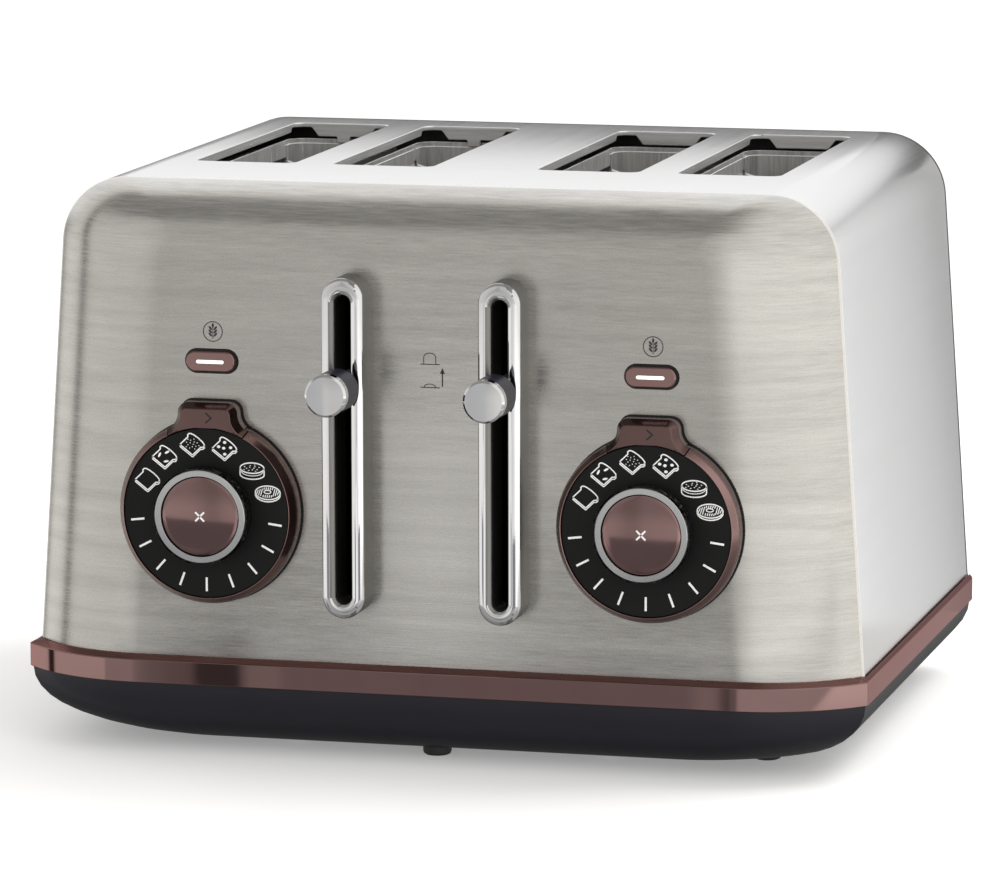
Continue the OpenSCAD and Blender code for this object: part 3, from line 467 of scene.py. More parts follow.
print("finishes made")


# making pieces
def pick(values, *labels):
    return [values[label] for label in labels]


def addPiece(name, mesh, body, material=None, node=None):
    mesh.name = name
    if material is not None:
        parts = [face.material_index for face in mesh.polygons]
        labels = material if isinstance(material, tuple) else (material,)
        mesh.materials.clear()
        for label in labels:
            mesh.materials.append(finish[label])
        if len(labels) > 1:
            mesh.polygons.foreach_set("material_index", parts)
    piece = newObject(name, mesh)
    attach(piece, body)
    if node:
        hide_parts(node)


def standIn(node, name, mesh, material):
    # a piece in place of a solid, on the same body
    addPiece(name, mesh, frame["nodes"][node]["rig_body"], material, node)


def baked(holder):
    # the evaluated shape as a plain mesh, without its modifiers
    bpy.context.view_layer.update()
    sight = bpy.context.evaluated_depsgraph_get()
    mesh = bpy.data.meshes.new_from_object(holder.evaluated_get(sight), preserve_all_data_layers=True,
                                           depsgraph=sight)
    bpy.data.objects.remove(holder)
    return mesh


def asMesh(shape, name, outward=True):
    if outward:
        bmesh.ops.recalc_face_normals(shape, faces=shape.faces)
    mesh = bpy.data.meshes.new(name)
    shape.to_mesh(mesh)
    shape.free()
    return mesh


def fromMesh(mesh):
    shape = bmesh.new()
    shape.from_mesh(mesh)
    return shape


def mergeFlat(shape, degrees):
    bmesh.ops.dissolve_limit(shape, angle_limit=radians(degrees), verts=shape.verts, edges=shape.edges)


def smoothMesh(mesh, angle=40):
    for face in mesh.polygons:
        face.use_smooth = True
    mesh.set_sharp_from_angle(angle=radians(angle))
    return mesh


rounding = {"segments": 3, "sharpFrom": 30, "weight": 60, "joinWithin": 0.002, "flatWithin": 0.1}


def roundEdges(mesh, width):
    holder = newObject("working", mesh)
    for face in mesh.polygons:
        face.use_smooth = True
    if width > 0:
        edge = holder.modifiers.new("edge", "BEVEL")
        edge.width = width * mm
        edge.segments = rounding["segments"]
        edge.limit_method = "ANGLE"
        edge.angle_limit = radians(rounding["sharpFrom"])
        edge.use_clamp_overlap = False
        edge.miter_outer = "MITER_ARC"
    even = holder.modifiers.new("even", "WEIGHTED_NORMAL")
    even.keep_sharp = True
    even.weight = rounding["weight"]
    return baked(holder)


def mergedCopy(node, flat):
    shape = fromMesh(frame["nodes"][node].data)
    bmesh.ops.remove_doubles(shape, verts=shape.verts, dist=rounding["joinWithin"] * mm)
    if flat > 0:
        mergeFlat(shape, flat)
    return asMesh(shape, node, outward=False)


def secondFinish(mesh, chosen):
    for face in mesh.polygons:
        if chosen(face):
            face.material_index = 1


# where a piece has its second finish: slopes of the faces, and places in metres
zones = {"wallSlope": 0.35, "rimSlope": 0.3, "rimZ": 0.21, "flapX": 0.142, "flapY": (-0.04, 0.126),
         "flapZ": (0.2, 0.2189), "flapSlope": 0.6, "lipY": -0.0836}


# upright walls: a darker copy of the piece's metal goes here, painted shade
def uprightWall(face):
    return abs(face.normal.y) < zones["wallSlope"]


# the top faces of the frame's rims, which take the near-white finish: painted highlight
def outerRim(face):
    return face.normal.z > zones["rimSlope"] and face.center.z > zones["rimZ"]


def slotFlap(face):
    # the folded walls of the slots, inside the shell's top, which take a darker, less metallic copy of the
    # wrap's steel: painted shade
    x, y, z = face.center
    (front, back), (low, high) = zones["flapY"], zones["flapZ"]
    inside = low < z < high and abs(x) < zones["flapX"] and front < y < back
    return inside and abs(face.normal.z) < zones["flapSlope"]


def panelLip(face):
    # the last strip of the panel, next to the wrap, which takes a lighter, less metallic steel: a painted
    # highlight along the seam
    return face.center.y > zones["lipY"]


# solids whose edges are rounded: name, finish, slot, and the rounding's width in mm
softened = {
    "trim_front": ("trimFront", "roseBronze", "rose_trim", 0.35),
    "trim_left": ("trimLeft", "roseBronze", "rose_trim", 0.35),
    "trim_right": ("trimRight", "roseBronze", "rose_trim", 0.35),
    "rear_panel": ("rearPanel", "rearPlastic", "rear_plate", 0.5),
    "feet": ("rubberFeet", "footRubber", "foot_rubber", 0.7),
    "base_screws": ("baseScrews", "polishedChrome", "screw_metal", 0.2),
    "chamber_top": ("slotFrame", ("innerSheet", "slotRim"), "frame_steel", 0.22),
    "cord_gland": ("cordGland", "footRubber", "gland_rubber", 0.5),
    "base_tray": ("baseShell", "charcoalBase", "base_plastic", 0.3),
    "wrap_shell": ("steelWrap", ("satinWrap", "slotFlap"), "satin_steel", 0.4),
}
pairs = {
    "lever_grip": ("leverGrip", "gripPlastic", "grip_plastic", 0.35),
    "dial_ring": ("dialRing", ("roseBronzeRing", "roseBronzeEdge"), "ring_metal", 0.2),
    "dial_face": ("dialFace", "mattBlack", "dial_black", 0.15),
    "browning_knob": ("browningKnob", "knurledBlack", "knob_chrome", 0.25),
    # the select tab's face takes a darker rose bronze and its walls a darker one still, both painted shade
    "select_button": ("selectButton", ("roseBronzeTab", "roseBronzeEdge"), "button_metal", 0.25),
    "preset_button": ("presetButton", ("roseBronze", "roseBronzeEdge"), "button_metal", 0.7),
    "carriage": ("carriage", "innerSheet", "carriage_steel", 0.3),
    "bread_rack": ("breadRack", "brightWire", "wire_steel", 0.4),
    "crumb_tray": ("crumbTray", "trayMetal", "tray_steel", 0.25),
}
sides = ((-1, "Left"), (1, "Right"))
for side, end in sides:
    for node, (name, *rest) in pairs.items():
        softened[node + "_" + end.lower()] = (name + end, *rest)
keptFaces = ("select_button", "bread_rack", "chamber_top")
for node, (name, material, slot, width) in softened.items():
    mesh = roundEdges(mergedCopy(node, 0 if node.startswith(keptFaces) else rounding["flatWithin"]), width)
    if isinstance(material, tuple):
        # the second finish paints light: shade on upright walls and on the slot walls, a highlight on the
        # frame's rims
        secondFinish(mesh, {"chamber_top": outerRim, "wrap_shell": slotFlap}.get(node, uprightWall))
    standIn(node, name, mesh, material)
print("softened pieces made")


# outlines in the plane of the front, as points (x, z)
def rotated(x, z, turn):
    return x * cos(turn) - z * sin(turn), x * sin(turn) + z * cos(turn)


def circle(x, z, wide, high=None, steps=28, turn=0.0):
    high = wide if high is None else high
    out = []
    for k in range(steps):
        a = 2 * pi * k / steps
        p, q = rotated(wide * cos(a), high * sin(a), turn)
        out.append((x + p, z + q))
    return out


def angles(start, stop, count):
    return [start + (stop - start) * k / count for k in range(count + 1)]


def arc(x, z, wide, high, turns):
    return [(x + wide * cos(a), z + high * sin(a)) for a in turns]


def ovalPoints(width, height, steps=20):
    radius = min(width, height) / 2
    points = []
    for k in range(4 * steps):
        a = 2 * pi * (k + 0.5) / (4 * steps)
        cx = (width / 2 - radius) * (1 if cos(a) > 0 else -1)
        cz = (height / 2 - radius) * (1 if sin(a) > 0 else -1)
        points.append((cx + radius * cos(a), cz + radius * sin(a)))
    return points


def mirrored(right, middle=()):
    return right + list(middle) + [(-x, z) for x, z in reversed(right)]


def addRow(shape, points, x, y, z):
    return [shape.verts.new(((x + a) * mm, y * mm, (z + b) * mm)) for a, b in points]


def bridge(shape, near, far):
    count = len(near)
    for k in range(count):
        shape.faces.new((near[k], near[(k + 1) % count], far[(k + 1) % count], far[k]))


def addPrism(shape, points, x, z, y0, y1):
    near, far = (addRow(shape, points, x, y, z) for y in (y0, y1))
    bridge(shape, near, far)
    shape.faces.new(near)
    shape.faces.new(list(reversed(far)))


# front panel: the flat face runs into swept sides and a rolled top
panel = {"reach": 105.5, "sweepX": 116.0, "sweep": 58.0, "roll": 21.0, "topRadius": 26.0, "smallest": 6.0,
         "baseWidth": 324.4, "topWidth": 300.0, "height": 219.5, "trimTop": 39.1, "low": 32.8, "sheet": 1.2,
         "overrun": 3, "levels": 44, "cornerSteps": 28}
openings = {"leverX": 30.33, "bezelMid": 123.4, "bezelHole": (13.2, 126.3), "dialX": 85.42, "dialZ": 96.0,
            "dialHole": 12.8, "stemZ": 38.6, "stemHole": 5.2, "presetZ": 152.9, "presetHole": (21.2, 9.6),
            "through": (-111, -99)}
frontPlane = -panel["reach"]


def panelRing(values, inset, depth):
    sweep, roll, height, wide, narrow = pick(values, "sweep", "roll", "height", "baseWidth", "topWidth")
    lean = atan((wide - narrow) / 2 / (height - values["trimTop"]))
    sideIn = wide / 2 - values["sweepX"] - sqrt(max(0, sweep ** 2 - (sweep - depth) ** 2))
    drop = roll - sqrt(roll ** 2 - (roll - depth) ** 2) if depth < roll else 0
    largest = values["topRadius"]
    radius = largest - inset - (largest - values["smallest"]) * min(1, drop / roll)
    top = height - inset - drop
    half = narrow / 2 - inset - sideIn
    low = values["low"] if inset == 0 else values["low"] - 2
    foot = half + (height - low) * tan(lean)
    middle = half + drop * tan(lean) - radius * (1 - sin(lean)) / cos(lean)
    turns = angles(lean, pi / 2, values["cornerSteps"])
    return mirrored([(foot, low)] + arc(middle, top - radius, radius, radius, turns))


def panelForm(values, inset, extra):
    sweep, levels = values["sweep"], values["levels"]
    seam = sweep - sqrt(sweep ** 2 - (values["baseWidth"] / 2 - values["sweepX"]) ** 2)
    turn = acos(1 - seam / sweep)
    depths = [sweep * (1 - cos(turn * (1 - j / levels))) for j in range(levels + 1)]
    shape = bmesh.new()
    rings = []
    if extra:
        rings.append(addRow(shape, panelRing(values, inset, depths[0]), 0, frontPlane + seam + extra, 0))
    for depth in depths:
        rings.append(addRow(shape, panelRing(values, inset, depth), 0, frontPlane + depth + inset, 0))
    for near, far in zip(rings, rings[1:]):
        bridge(shape, near, far)
    shape.faces.new(rings[0])
    shape.faces.new(rings[-1])
    return asMesh(shape, "form")


def cut(mesh, *tools):
    holder = newObject("working", mesh)
    helpers = [newObject("tool", tool) for tool in tools]
    for helper in helpers:
        step = holder.modifiers.new("cut", "BOOLEAN")
        step.operation = "DIFFERENCE"
        step.solver = "EXACT"
        step.object = helper
    done = baked(holder)
    for helper in helpers:
        bpy.data.objects.remove(helper)
    return done


def makeFrontPanel():
    leverX, bezelMid, dialX, dialZ = pick(openings, "leverX", "bezelMid", "dialX", "dialZ")
    dialHole, stemHole = pick(openings, "dialHole", "stemHole")
    holes = bmesh.new()
    for side, end in sides:
        for size, x, z in ((openings["bezelHole"], leverX, bezelMid),
                           ((dialHole, dialHole), dialX, dialZ),
                           ((stemHole, stemHole), dialX, dialZ + openings["stemZ"]),
                           (openings["presetHole"], dialX, openings["presetZ"])):
            addPrism(holes, ovalPoints(*size), side * x, z, *openings["through"])
    inner = panelForm(panel, panel["sheet"], panel["overrun"])
    shape = fromMesh(cut(panelForm(panel, 0, 0), inner, asMesh(holes, "holes")))
    mergeFlat(shape, 0.05)
    mesh = asMesh(shape, "panel", outward=False)
    mesh.set_sharp_from_angle(angle=radians(35))
    mesh = roundEdges(mesh, 0)
    secondFinish(mesh, panelLip)
    standIn("front_panel", "frontPanel", mesh, ("brushedFront", "panelLip"))


makeFrontPanel()
print("front panel made")

# lever bezels: crowned chrome round the slot on a brushed collar, whose sides and the far side of the slot's
# funnel are darkened brushed steel, painted shade
bezel = {"width": 16.3, "height": 129.4, "depth": 14.5, "edge": 1.2, "crown": 2.9, "slotWidth": 5.7,
         "slotHeight": 116.9, "slotDrop": 0.6, "funnel": 2.25, "plug": 3.3, "sheet": 1.2, "funnelSide": 5.3,
         "farSlope": 0.14, "flare": 0.9, "throat": 1.3}


def ovalSleeve(rings, x, z):
    # ovals (width, height, forward, lift) joined in turn, and the last to the first
    shape = bmesh.new()
    rows = [addRow(shape, ovalPoints(width, height, 16), x, frontPlane - forward, z + lift)
            for width, height, forward, lift in rings]
    for near, far in zip(rows, rows[1:] + rows[:1]):
        bridge(shape, near, far)
    return smoothMesh(asMesh(shape, "sleeve"), 35)


def bezelRings(values):
    width, height, depth, edge, crown = pick(values, "width", "height", "depth", "edge", "crown")
    slotWidth, slotHeight, drop, funnel = pick(values, "slotWidth", "slotHeight", "slotDrop", "funnel")
    plug, sheet, flare, throat = pick(values, "plug", "sheet", "flare", "throat")
    rings = [(width, height, 0, 0)]
    for k in range(7):
        a = k * pi / 12
        inset = 2 * crown * (1 - cos(a))
        rings.append((width - inset, height - inset, depth - edge + edge * sin(a), 0))
    for k in range(5):
        a = k * pi / 10
        reach = 2 * funnel * (1 - sin(a))
        rings.append((slotWidth + reach, slotHeight + reach, depth - funnel * flare * (1 - cos(a)), -drop))
    for forward in (depth - funnel * throat, -sheet):
        rings.append((slotWidth, slotHeight, forward, -drop))
    return rings + [(width - plug, height - plug, -sheet, 0), (width - plug, height - plug, 0, 0)]


for side, end in sides:
    x = side * openings["leverX"]
    brow = (frontPlane - bezel["depth"] + bezel["edge"]) * mm
    mesh = ovalSleeve(bezelRings(bezel), x, openings["bezelMid"])
    # the bezel's upright sides and the funnel's far side get the darker brushed steel, painted shade
    secondFinish(mesh, lambda face: (uprightWall(face) and face.center.y > brow)
                 or (face.normal.x > bezel["farSlope"]
                     and abs(face.center.x - x * mm) < bezel["funnelSide"] * mm))
    standIn("lever_bezel_" + end.lower(), "leverBezel" + end, mesh, ("polishedChrome", "bezelSide"))

# turned pieces: a slightly domed cancel button on its stem, the rim of its knob, a bevelled lever cap
cancel = {"radius": 15.1, "front": 17.5, "dome": 0.45, "soft": 0.25, "back": 13.1, "stem": 2.8,
          "stemBack": -9.0}
knobRim = {"inner": 15.3, "outer": 17.7, "front": 17.74, "soft": 0.18, "depth": 0.7}
cap = {"z": 146.8, "radius": 8.0, "flat": 7.15, "front": 37.25, "dome": 0.07, "bevel": 0.8, "soft": 0.12,
       "back": 33.25}


def turned(profile, x, z, steps=144):
    # points (radius, forward), turned round an axis that faces the front
    shape = bmesh.new()
    rows = []
    for radius, forward in profile:
        ring = circle(0, 0, radius, steps=steps) if radius else [(0, 0)]
        rows.append(addRow(shape, ring, x, frontPlane - forward, z))
    for near, far in zip(rows, rows[1:]):
        for k in range(steps):
            q = (k + 1) % steps
            if len(near) == 1:
                shape.faces.new((near[0], far[q], far[k]))
            elif len(far) == 1:
                shape.faces.new((near[k], near[q], far[0]))
            else:
                shape.faces.new((near[k], near[q], far[q], far[k]))
    bmesh.ops.remove_doubles(shape, verts=shape.verts, dist=0.001 * mm)
    return smoothMesh(asMesh(shape, "turned"), 35)


def domed(radius, front, dome, steps):
    return [(radius * k / steps, front - dome * (k / steps) ** 2) for k in range(steps + 1)]


def cancelProfile(values):
    radius, front, dome, soft = pick(values, "radius", "front", "dome", "soft")
    back, stem, stemBack = pick(values, "back", "stem", "stemBack")
    edge = [(radius - soft * (1 - sin(a)), front - dome - soft * (1 - cos(a)))
            for a in (0.2, 0.7, 1.2, 1.57)]
    behind = [(radius, back), (stem, back), (stem, stemBack), (0, stemBack)]
    return domed(radius, front, dome, 10)[:-1] + edge + behind


def rimProfile(values):
    inner, outer, front, soft = pick(values, "inner", "outer", "front", "soft")
    back = front - values["depth"]
    return [(inner, back), (inner, front - soft), (inner + soft, front), (outer - soft, front),
            (outer, front - soft), (outer, back), (inner, back)]


def capProfile(values):
    radius, front, dome, soft, back = pick(values, "radius", "front", "dome", "soft", "back")
    edge = front - dome - values["bevel"]
    behind = [(radius - soft, edge + soft), (radius, edge), (radius, back), (0, back)]
    return domed(values["flat"], front, dome, 8) + behind


for side, end in sides:
    x, z = side * openings["dialX"], openings["dialZ"]
    standIn("cancel_button_" + end.lower(), "cancelButton" + end, turned(cancelProfile(cancel), x, z),
            "roseBronzeSatin")
    addPiece("knobRim" + end, turned(rimProfile(knobRim), x, z), "knob_" + end.lower(), "satinChrome")
for side, end in sides:
    mesh = turned(capProfile(cap), side * openings["leverX"], cap["z"])
    standIn("lever_cap_" + end.lower(), "leverCap" + end, mesh, "polishedChrome")
print("bezels, cancel buttons and lever caps made")


# printed marks
def ribbon(shape, points, width, y, closed, depth):
    # a flat line of even width that follows points in the front's plane
    count = len(points)
    rows = []
    for k, (x, z) in enumerate(points):
        before = points[k - 1] if closed or k else points[k]
        after = points[(k + 1) % count] if closed or k < count - 1 else points[k]
        first = Vector((x - before[0], z - before[1]))
        second = Vector((after[0] - x, after[1] - z))
        first = first.normalized() if first.length > 1e-9 else second.normalized()
        second = second.normalized() if second.length > 1e-9 else first
        way = (first + second).normalized() if (first + second).length > 1e-6 else first
        out = Vector((-way.y, way.x))
        reach = width / 2 / max(0.45, out.dot(Vector((-first.y, first.x))))
        edges = [(s * out.x * reach, s * out.y * reach) for s in (1, -1)]
        rows.append(addRow(shape, edges, x, y, z) + addRow(shape, edges, x, y - depth, z))
    for a, b in list(zip(rows, rows[1:])) + ([(rows[-1], rows[0])] if closed else []):
        for i, j in ((2, 3), (1, 0), (0, 2), (3, 1)):
            shape.faces.new((a[i], a[j], b[j], b[i]))
    if not closed:
        for row, order in ((rows[0], (0, 1, 3, 2)), (rows[-1], (0, 2, 3, 1))):
            shape.faces.new([row[k] for k in order])


def addMark(name, body, material, y, depth, lines=(), blots=()):
    # lines (points, width, closed) and filled outlines, raised from y to the front
    shape = bmesh.new()
    for points, width, closed in lines:
        ribbon(shape, points, width, y, closed, depth)
    for points in blots:
        addPrism(shape, points, 0, 0, y - depth, y)
    addPiece(name, asMesh(shape, name), body, material)


# bread signs round a dial: places from its middle, sizes and line widths in mm
signs = {"line": 0.46, "slice": 3.35, "tilt": 42.0, "press": 0.86, "edge": 0.75, "drop": 0.1, "lift": 0.35,
         "foot": 0.93, "crown": 1.16, "edgeLine": 0.9,
         "shoulder": [(1.0, -0.93), (1.0, 0.42), (1.2, 0.62), (1.2, 0.86), (1.02, 1.02), (0.6, 1.12)],
         "slices": ((-23.2, 11.8), (-16.3, 20.8), (-5.3, 25.9), (7.4, 24.9)),
         "jam": ((-1.9, 0.9, 1.1), (1.1, 2.0, 0.5), (0.7, -1.5, 0.2)), "jamSize": (1.05, 0.42),
         "seeds": 15, "seedStep": 0.75, "seedPress": 0.8, "seedSize": (0.24, 0.17),
         "fruit": ((0.2, 2.5), (-2.2, 0.8), (2.5, 0.6), (-0.2, 0.3), (0.2, -2.0)),
         "fruitSize": (0.68, 0.56)}
muffin = {"place": (18.3, 16.8), "top": (4.7, 2.0), "rise": 1.2, "low": (4.75, 1.75), "drop": 1.3,
          "corner": 1.2, "fold": (4.3, 1.9), "foldRise": 0.1, "foldLine": 0.6, "pits": 13,
          "field": (3.7, 1.4), "pit": (0.3, 0.17)}
ringRoll = {"place": (24.4, 8.2), "rim": (4.9, 2.6), "rise": 0.6, "low": (4.9, 2.75), "drop": 0.1,
            "hole": (1.35, 0.62), "holeShift": 0.1, "holeRise": 0.9, "holeLine": 0.8, "cuts": 11,
            "first": -4.1, "step": 0.82, "cutHalf": 2.0, "cutSpan": 4.7, "split": (1.7, 0.95),
            "lean": 0.4, "share": 0.85, "cutRise": 0.7, "cutLine": 0.75}
goldenTurn = 2.4


def sliceMark(cx, cz, values):
    # a slice lying askew: straight foot, two shoulders, a slightly domed crust, and its thickness below
    half, line, foot, shoulder = pick(values, "slice", "line", "foot", "shoulder")
    crust = [(-foot, -1), (foot, -1)] + mirrored(shoulder, [(0, values["crown"])])
    face = []
    for a, b in crust:
        x, z = rotated(a * half, b * half - values["drop"], radians(-values["tilt"]))
        face.append((cx + x, cz + z * values["press"] + values["lift"]))
    count = len(face)
    start = min(range(count), key=lambda k: face[k][0])
    stop = max(range(count), key=lambda k: face[k][0])
    below = [face[(start + k) % count] for k in range((stop - start) % count + 1)]
    under = [face[start], *((x, z - values["edge"]) for x, z in below), face[stop]]
    return [(face, line, True), (under, line * values["edgeLine"], False)]


def toppings(cx, cz, values):
    # jam, seeds and fruit on the last three slices
    (x1, z1), (x2, z2), (x3, z3) = ((cx + x, cz + z) for x, z in values["slices"][1:])
    blots = [circle(x1 + a, z1 + b, *values["jamSize"], 12, turn) for a, b, turn in values["jam"]]
    for k in range(values["seeds"]):
        a, r = k * goldenTurn, values["seedStep"] * sqrt(k + 0.6)
        x, z = x2 + r * cos(a), z2 + values["lift"] + values["seedPress"] * r * sin(a)
        blots.append(circle(x, z, *values["seedSize"], 6, a))
    return blots + [circle(x3 + a, z3 + b, *values["fruitSize"], 12) for a, b in values["fruit"]]


def muffinMark(x, z, line, values):
    # a round muffin with a pitted top
    (wide, high), (lowWide, lowHigh), rise, corner = pick(values, "top", "low", "rise", "corner")
    low = arc(x, z - values["drop"], lowWide, lowHigh, angles(pi, 2 * pi, 14)[1:-1])
    wall = [(x - wide, z + rise), (x - lowWide, z - corner), *low,
            (x + lowWide, z - corner), (x + wide, z + rise)]
    fold = arc(x, z + values["foldRise"], *values["fold"], angles(1.04 * pi, 1.96 * pi, 12))
    across, up = values["field"]
    pits = []
    for k in range(values["pits"]):
        a, r = k * goldenTurn, sqrt((k + 0.5) / values["pits"])
        pits.append(circle(x + across * r * cos(a), z + rise + up * r * sin(a), *values["pit"], 6))
    lines = [(circle(x, z + rise, wide, high), line, True), (wall, line, False),
             (fold, line * values["foldLine"], False)]
    return lines, pits


def rollMark(x, z, line, values):
    # a ring roll with cuts across it, which the hole splits
    lean, share = values["lean"], values["share"]
    splitFrom, holeEdge = values["split"]
    low = arc(x, z - values["drop"], *values["low"], angles(pi, 2 * pi, 14))
    hole = circle(x - values["holeShift"], z + values["holeRise"], *values["hole"])
    lines = [(circle(x, z + values["rise"], *values["rim"]), line, True), (low, line, False),
             (hole, line * values["holeLine"], True)]
    for k in range(values["cuts"]):
        a = values["first"] + values["step"] * k
        reach = values["cutHalf"] * sqrt(max(0.02, 1 - (a / values["cutSpan"]) ** 2))
        if abs(a) < splitFrom:
            cuts = [((a - 0.3, -reach), (a, -holeEdge)), ((a + 0.1, holeEdge), (a + lean, reach))]
        else:
            cuts = [((a - lean, -share * reach), (a + lean, share * reach))]
        for ends in cuts:
            points = [(x + b, z + values["cutRise"] + c) for b, c in ends]
            lines.append((points, line * values["cutLine"], False))
    return lines


def signLines(cx, cz, values):
    line = values["line"]
    lines = []
    for x, z in values["slices"]:
        lines += sliceMark(cx + x, cz + z, values)
    (muffinX, muffinZ), (rollX, rollZ) = muffin["place"], ringRoll["place"]
    muffinLines, pits = muffinMark(cx + muffinX, cz + muffinZ, line, muffin)
    lines += muffinLines + rollMark(cx + rollX, cz + rollZ, line, ringRoll)
    return lines, toppings(cx, cz, values) + pits


def shapeTree(name, values):
    # a shape tree with a material and these values as its inputs
    inputs = {label: "Int" if isinstance(value, int) else "Float" for label, value in values.items()}
    return newTree(name, "Geometry", {**inputs, "Material": "Material"}, {"Geometry": "Geometry"})


def spotRow(tree, count, first=(0, 0, 0), step=(0, 0, 0)):
    return result(tree, "GeometryNodeMeshLine", {"Count": count, "Start Location": first, "Offset": step})


def copiesOn(tree, spots, piece, **more):
    return result(tree, "GeometryNodeInstanceOnPoints", {"Points": spots, "Instance": piece, **more})


def swept(tree, path, profile, caps=False):
    inputs = {"Curve": path, "Profile Curve": profile, "Fill Caps": caps}
    return result(tree, "GeometryNodeCurveToMesh", inputs)


def endTree(tree, geometry, start, end):
    whole = result(tree, "GeometryNodeRealizeInstances", {0: geometry})
    inputs = {"Geometry": whole, "Material": start.outputs["Material"]}
    join(tree, result(tree, "GeometryNodeSetMaterial", inputs), end.inputs[0])
    return tree


def grow(tree, values, material):
    holder = newObject("working", bpy.data.meshes.new("working"))
    step = holder.modifiers.new("grow", "NODES")
    step.node_group = tree
    for item in tree.interface.items_tree:
        if item.item_type == "SOCKET" and item.in_out == "INPUT":
            step[item.identifier] = finish[material] if item.name == "Material" else values[item.name]
    return baked(holder)


def moved(mesh, x, y, z):
    mesh.transform(Matrix.Translation((x * mm, y * mm, z * mm)))
    return mesh


ticks = {"Count": 9, "Sweep": radians(166), "Radius": 27.35 * mm, "Length": 5.3 * mm, "Width": 0.8 * mm,
         "Depth": 0.12 * mm}


def tickTree(values):
    tree, start, end = shapeTree("dialTicks", values)
    value = start.outputs
    last = calc(tree, "SUBTRACT", value["Count"], 1.0)
    share = calc(tree, "DIVIDE", result(tree, "GeometryNodeInputIndex"), last)
    angle = calc(tree, "MULTIPLY", calc(tree, "SUBTRACT", share, 0.5), value["Sweep"])
    down = calc(tree, "MULTIPLY", value["Radius"], -1.0)
    x = calc(tree, "MULTIPLY", calc(tree, "SINE", angle), value["Radius"])
    z = calc(tree, "MULTIPLY", calc(tree, "COSINE", angle), down)
    inputs = {"Geometry": spotRow(tree, value["Count"]), "Position": vector(tree, x=x, z=z)}
    spots = result(tree, "GeometryNodeSetPosition", inputs)
    size = vector(tree, value["Width"], value["Depth"], value["Length"])
    bar = result(tree, "GeometryNodeMeshCube", {"Size": size})
    turn = vector(tree, y=calc(tree, "MULTIPLY", angle, -1.0))
    return endTree(tree, copiesOn(tree, spots, bar, Rotation=turn), start, end)


# dark outlines where the dials and presets meet the panel: painted shadow standing in for the gap round them
shadowGap = {"gap": 0.55, "ring": 35.2, "width": 23.6, "reach": 42.0, "corner": 4.2, "flank": 7.0,
        "preset": (20.7, 9.1), "depth": 0.3}


def dialOutline(cx, cz, values):
    gap, ring, reach, corner, flank = pick(values, "gap", "ring", "reach", "corner", "flank")
    half = values["width"] / 2
    rise = sqrt((ring + flank) ** 2 - (half + flank) ** 2)
    turn = atan2(rise, half + flank)
    quarter = [radians(90 - 15 * k) for k in range(7)]
    right = arc(half - corner, reach - corner, corner + gap, corner + gap, quarter)
    right += arc(half + flank, rise, flank - gap, flank - gap, angles(pi, pi + turn, 8)[1:])
    right += arc(0, 0, ring + gap, ring + gap, angles(turn, -pi / 2, 41)[1:-1])
    return [(cx + x, cz + z) for x, z in mirrored(right, [(0, -ring - gap)])]


sunk = 0.02  # how far a mark is let into its face
faceFront = frontPlane - 9.2
cross = {"arm": 1.75, "line": 0.68, "depth": 0.1}
arrow = {"tip": (2.5, 36.6), "tail": 0.3, "half": 1.9, "line": 0.62, "depth": 0.08}
lightBar = {"size": (10.8, 1.35), "depth": 0.14}
ink = {"faceDepth": 0.1, "panelDepth": 0.06}


def crossLines(cx, cz, values):
    arm = values["arm"]
    strokes = ([(cx - arm, cz - way * arm), (cx + arm, cz + way * arm)] for way in (1, -1))
    return [(stroke, values["line"], False) for stroke in strokes]


def arrowLines(cx, cz, values):
    (x, z), half, tail = values["tip"], values["half"], values["tail"]
    points = [(cx + tail, cz + z + half), (cx + x, cz + z), (cx + tail, cz + z - half)]
    return [(points, values["line"], False)]


# round sign over the oval button: a ring with an ear of corn in it
roundSign = {"shift": 0.5, "z": 164.2, "radius": 3.75, "line": 0.36, "stalk": (161.4, 165.6),
             "stalkLine": 0.3, "leafZ": (163.0, 164.25, 165.5), "leaf": (0.98, 0.42), "lean": 0.85,
             "bud": (166.5, 0.46, 0.95)}


def roundSignLines(x, values):
    ring = circle(x, values["z"], values["radius"], steps=36)
    stalk = [(x, z) for z in values["stalk"]]
    wide, high = values["leaf"]
    leaves = [circle(x + way * wide, z, wide, high, 12, way * values["lean"])
              for z in values["leafZ"] for way in (-1, 1)]
    lines = [(ring, values["line"], True), (stalk, values["stalkLine"], False)]
    return lines, leaves + [circle(x, *values["bud"], 12)]


# lift sign: a raised loaf on its rest, a low one under it, and an arrow beside them that points up
liftSign = {"rest": (-3.7, 3.9), "highZ": 154.6, "lowZ": 145.8, "line": 0.36, "breadLine": 0.34,
            "loaf": (2.35, 1.7), "loafZ": (156.6, 157.2), "dome": (2.3, 1.35), "arrowX": 4.9,
            "arrowZ": (146.2, 151.6), "arrowLine": 0.5, "head": (1.0, 151.2, 153.4)}


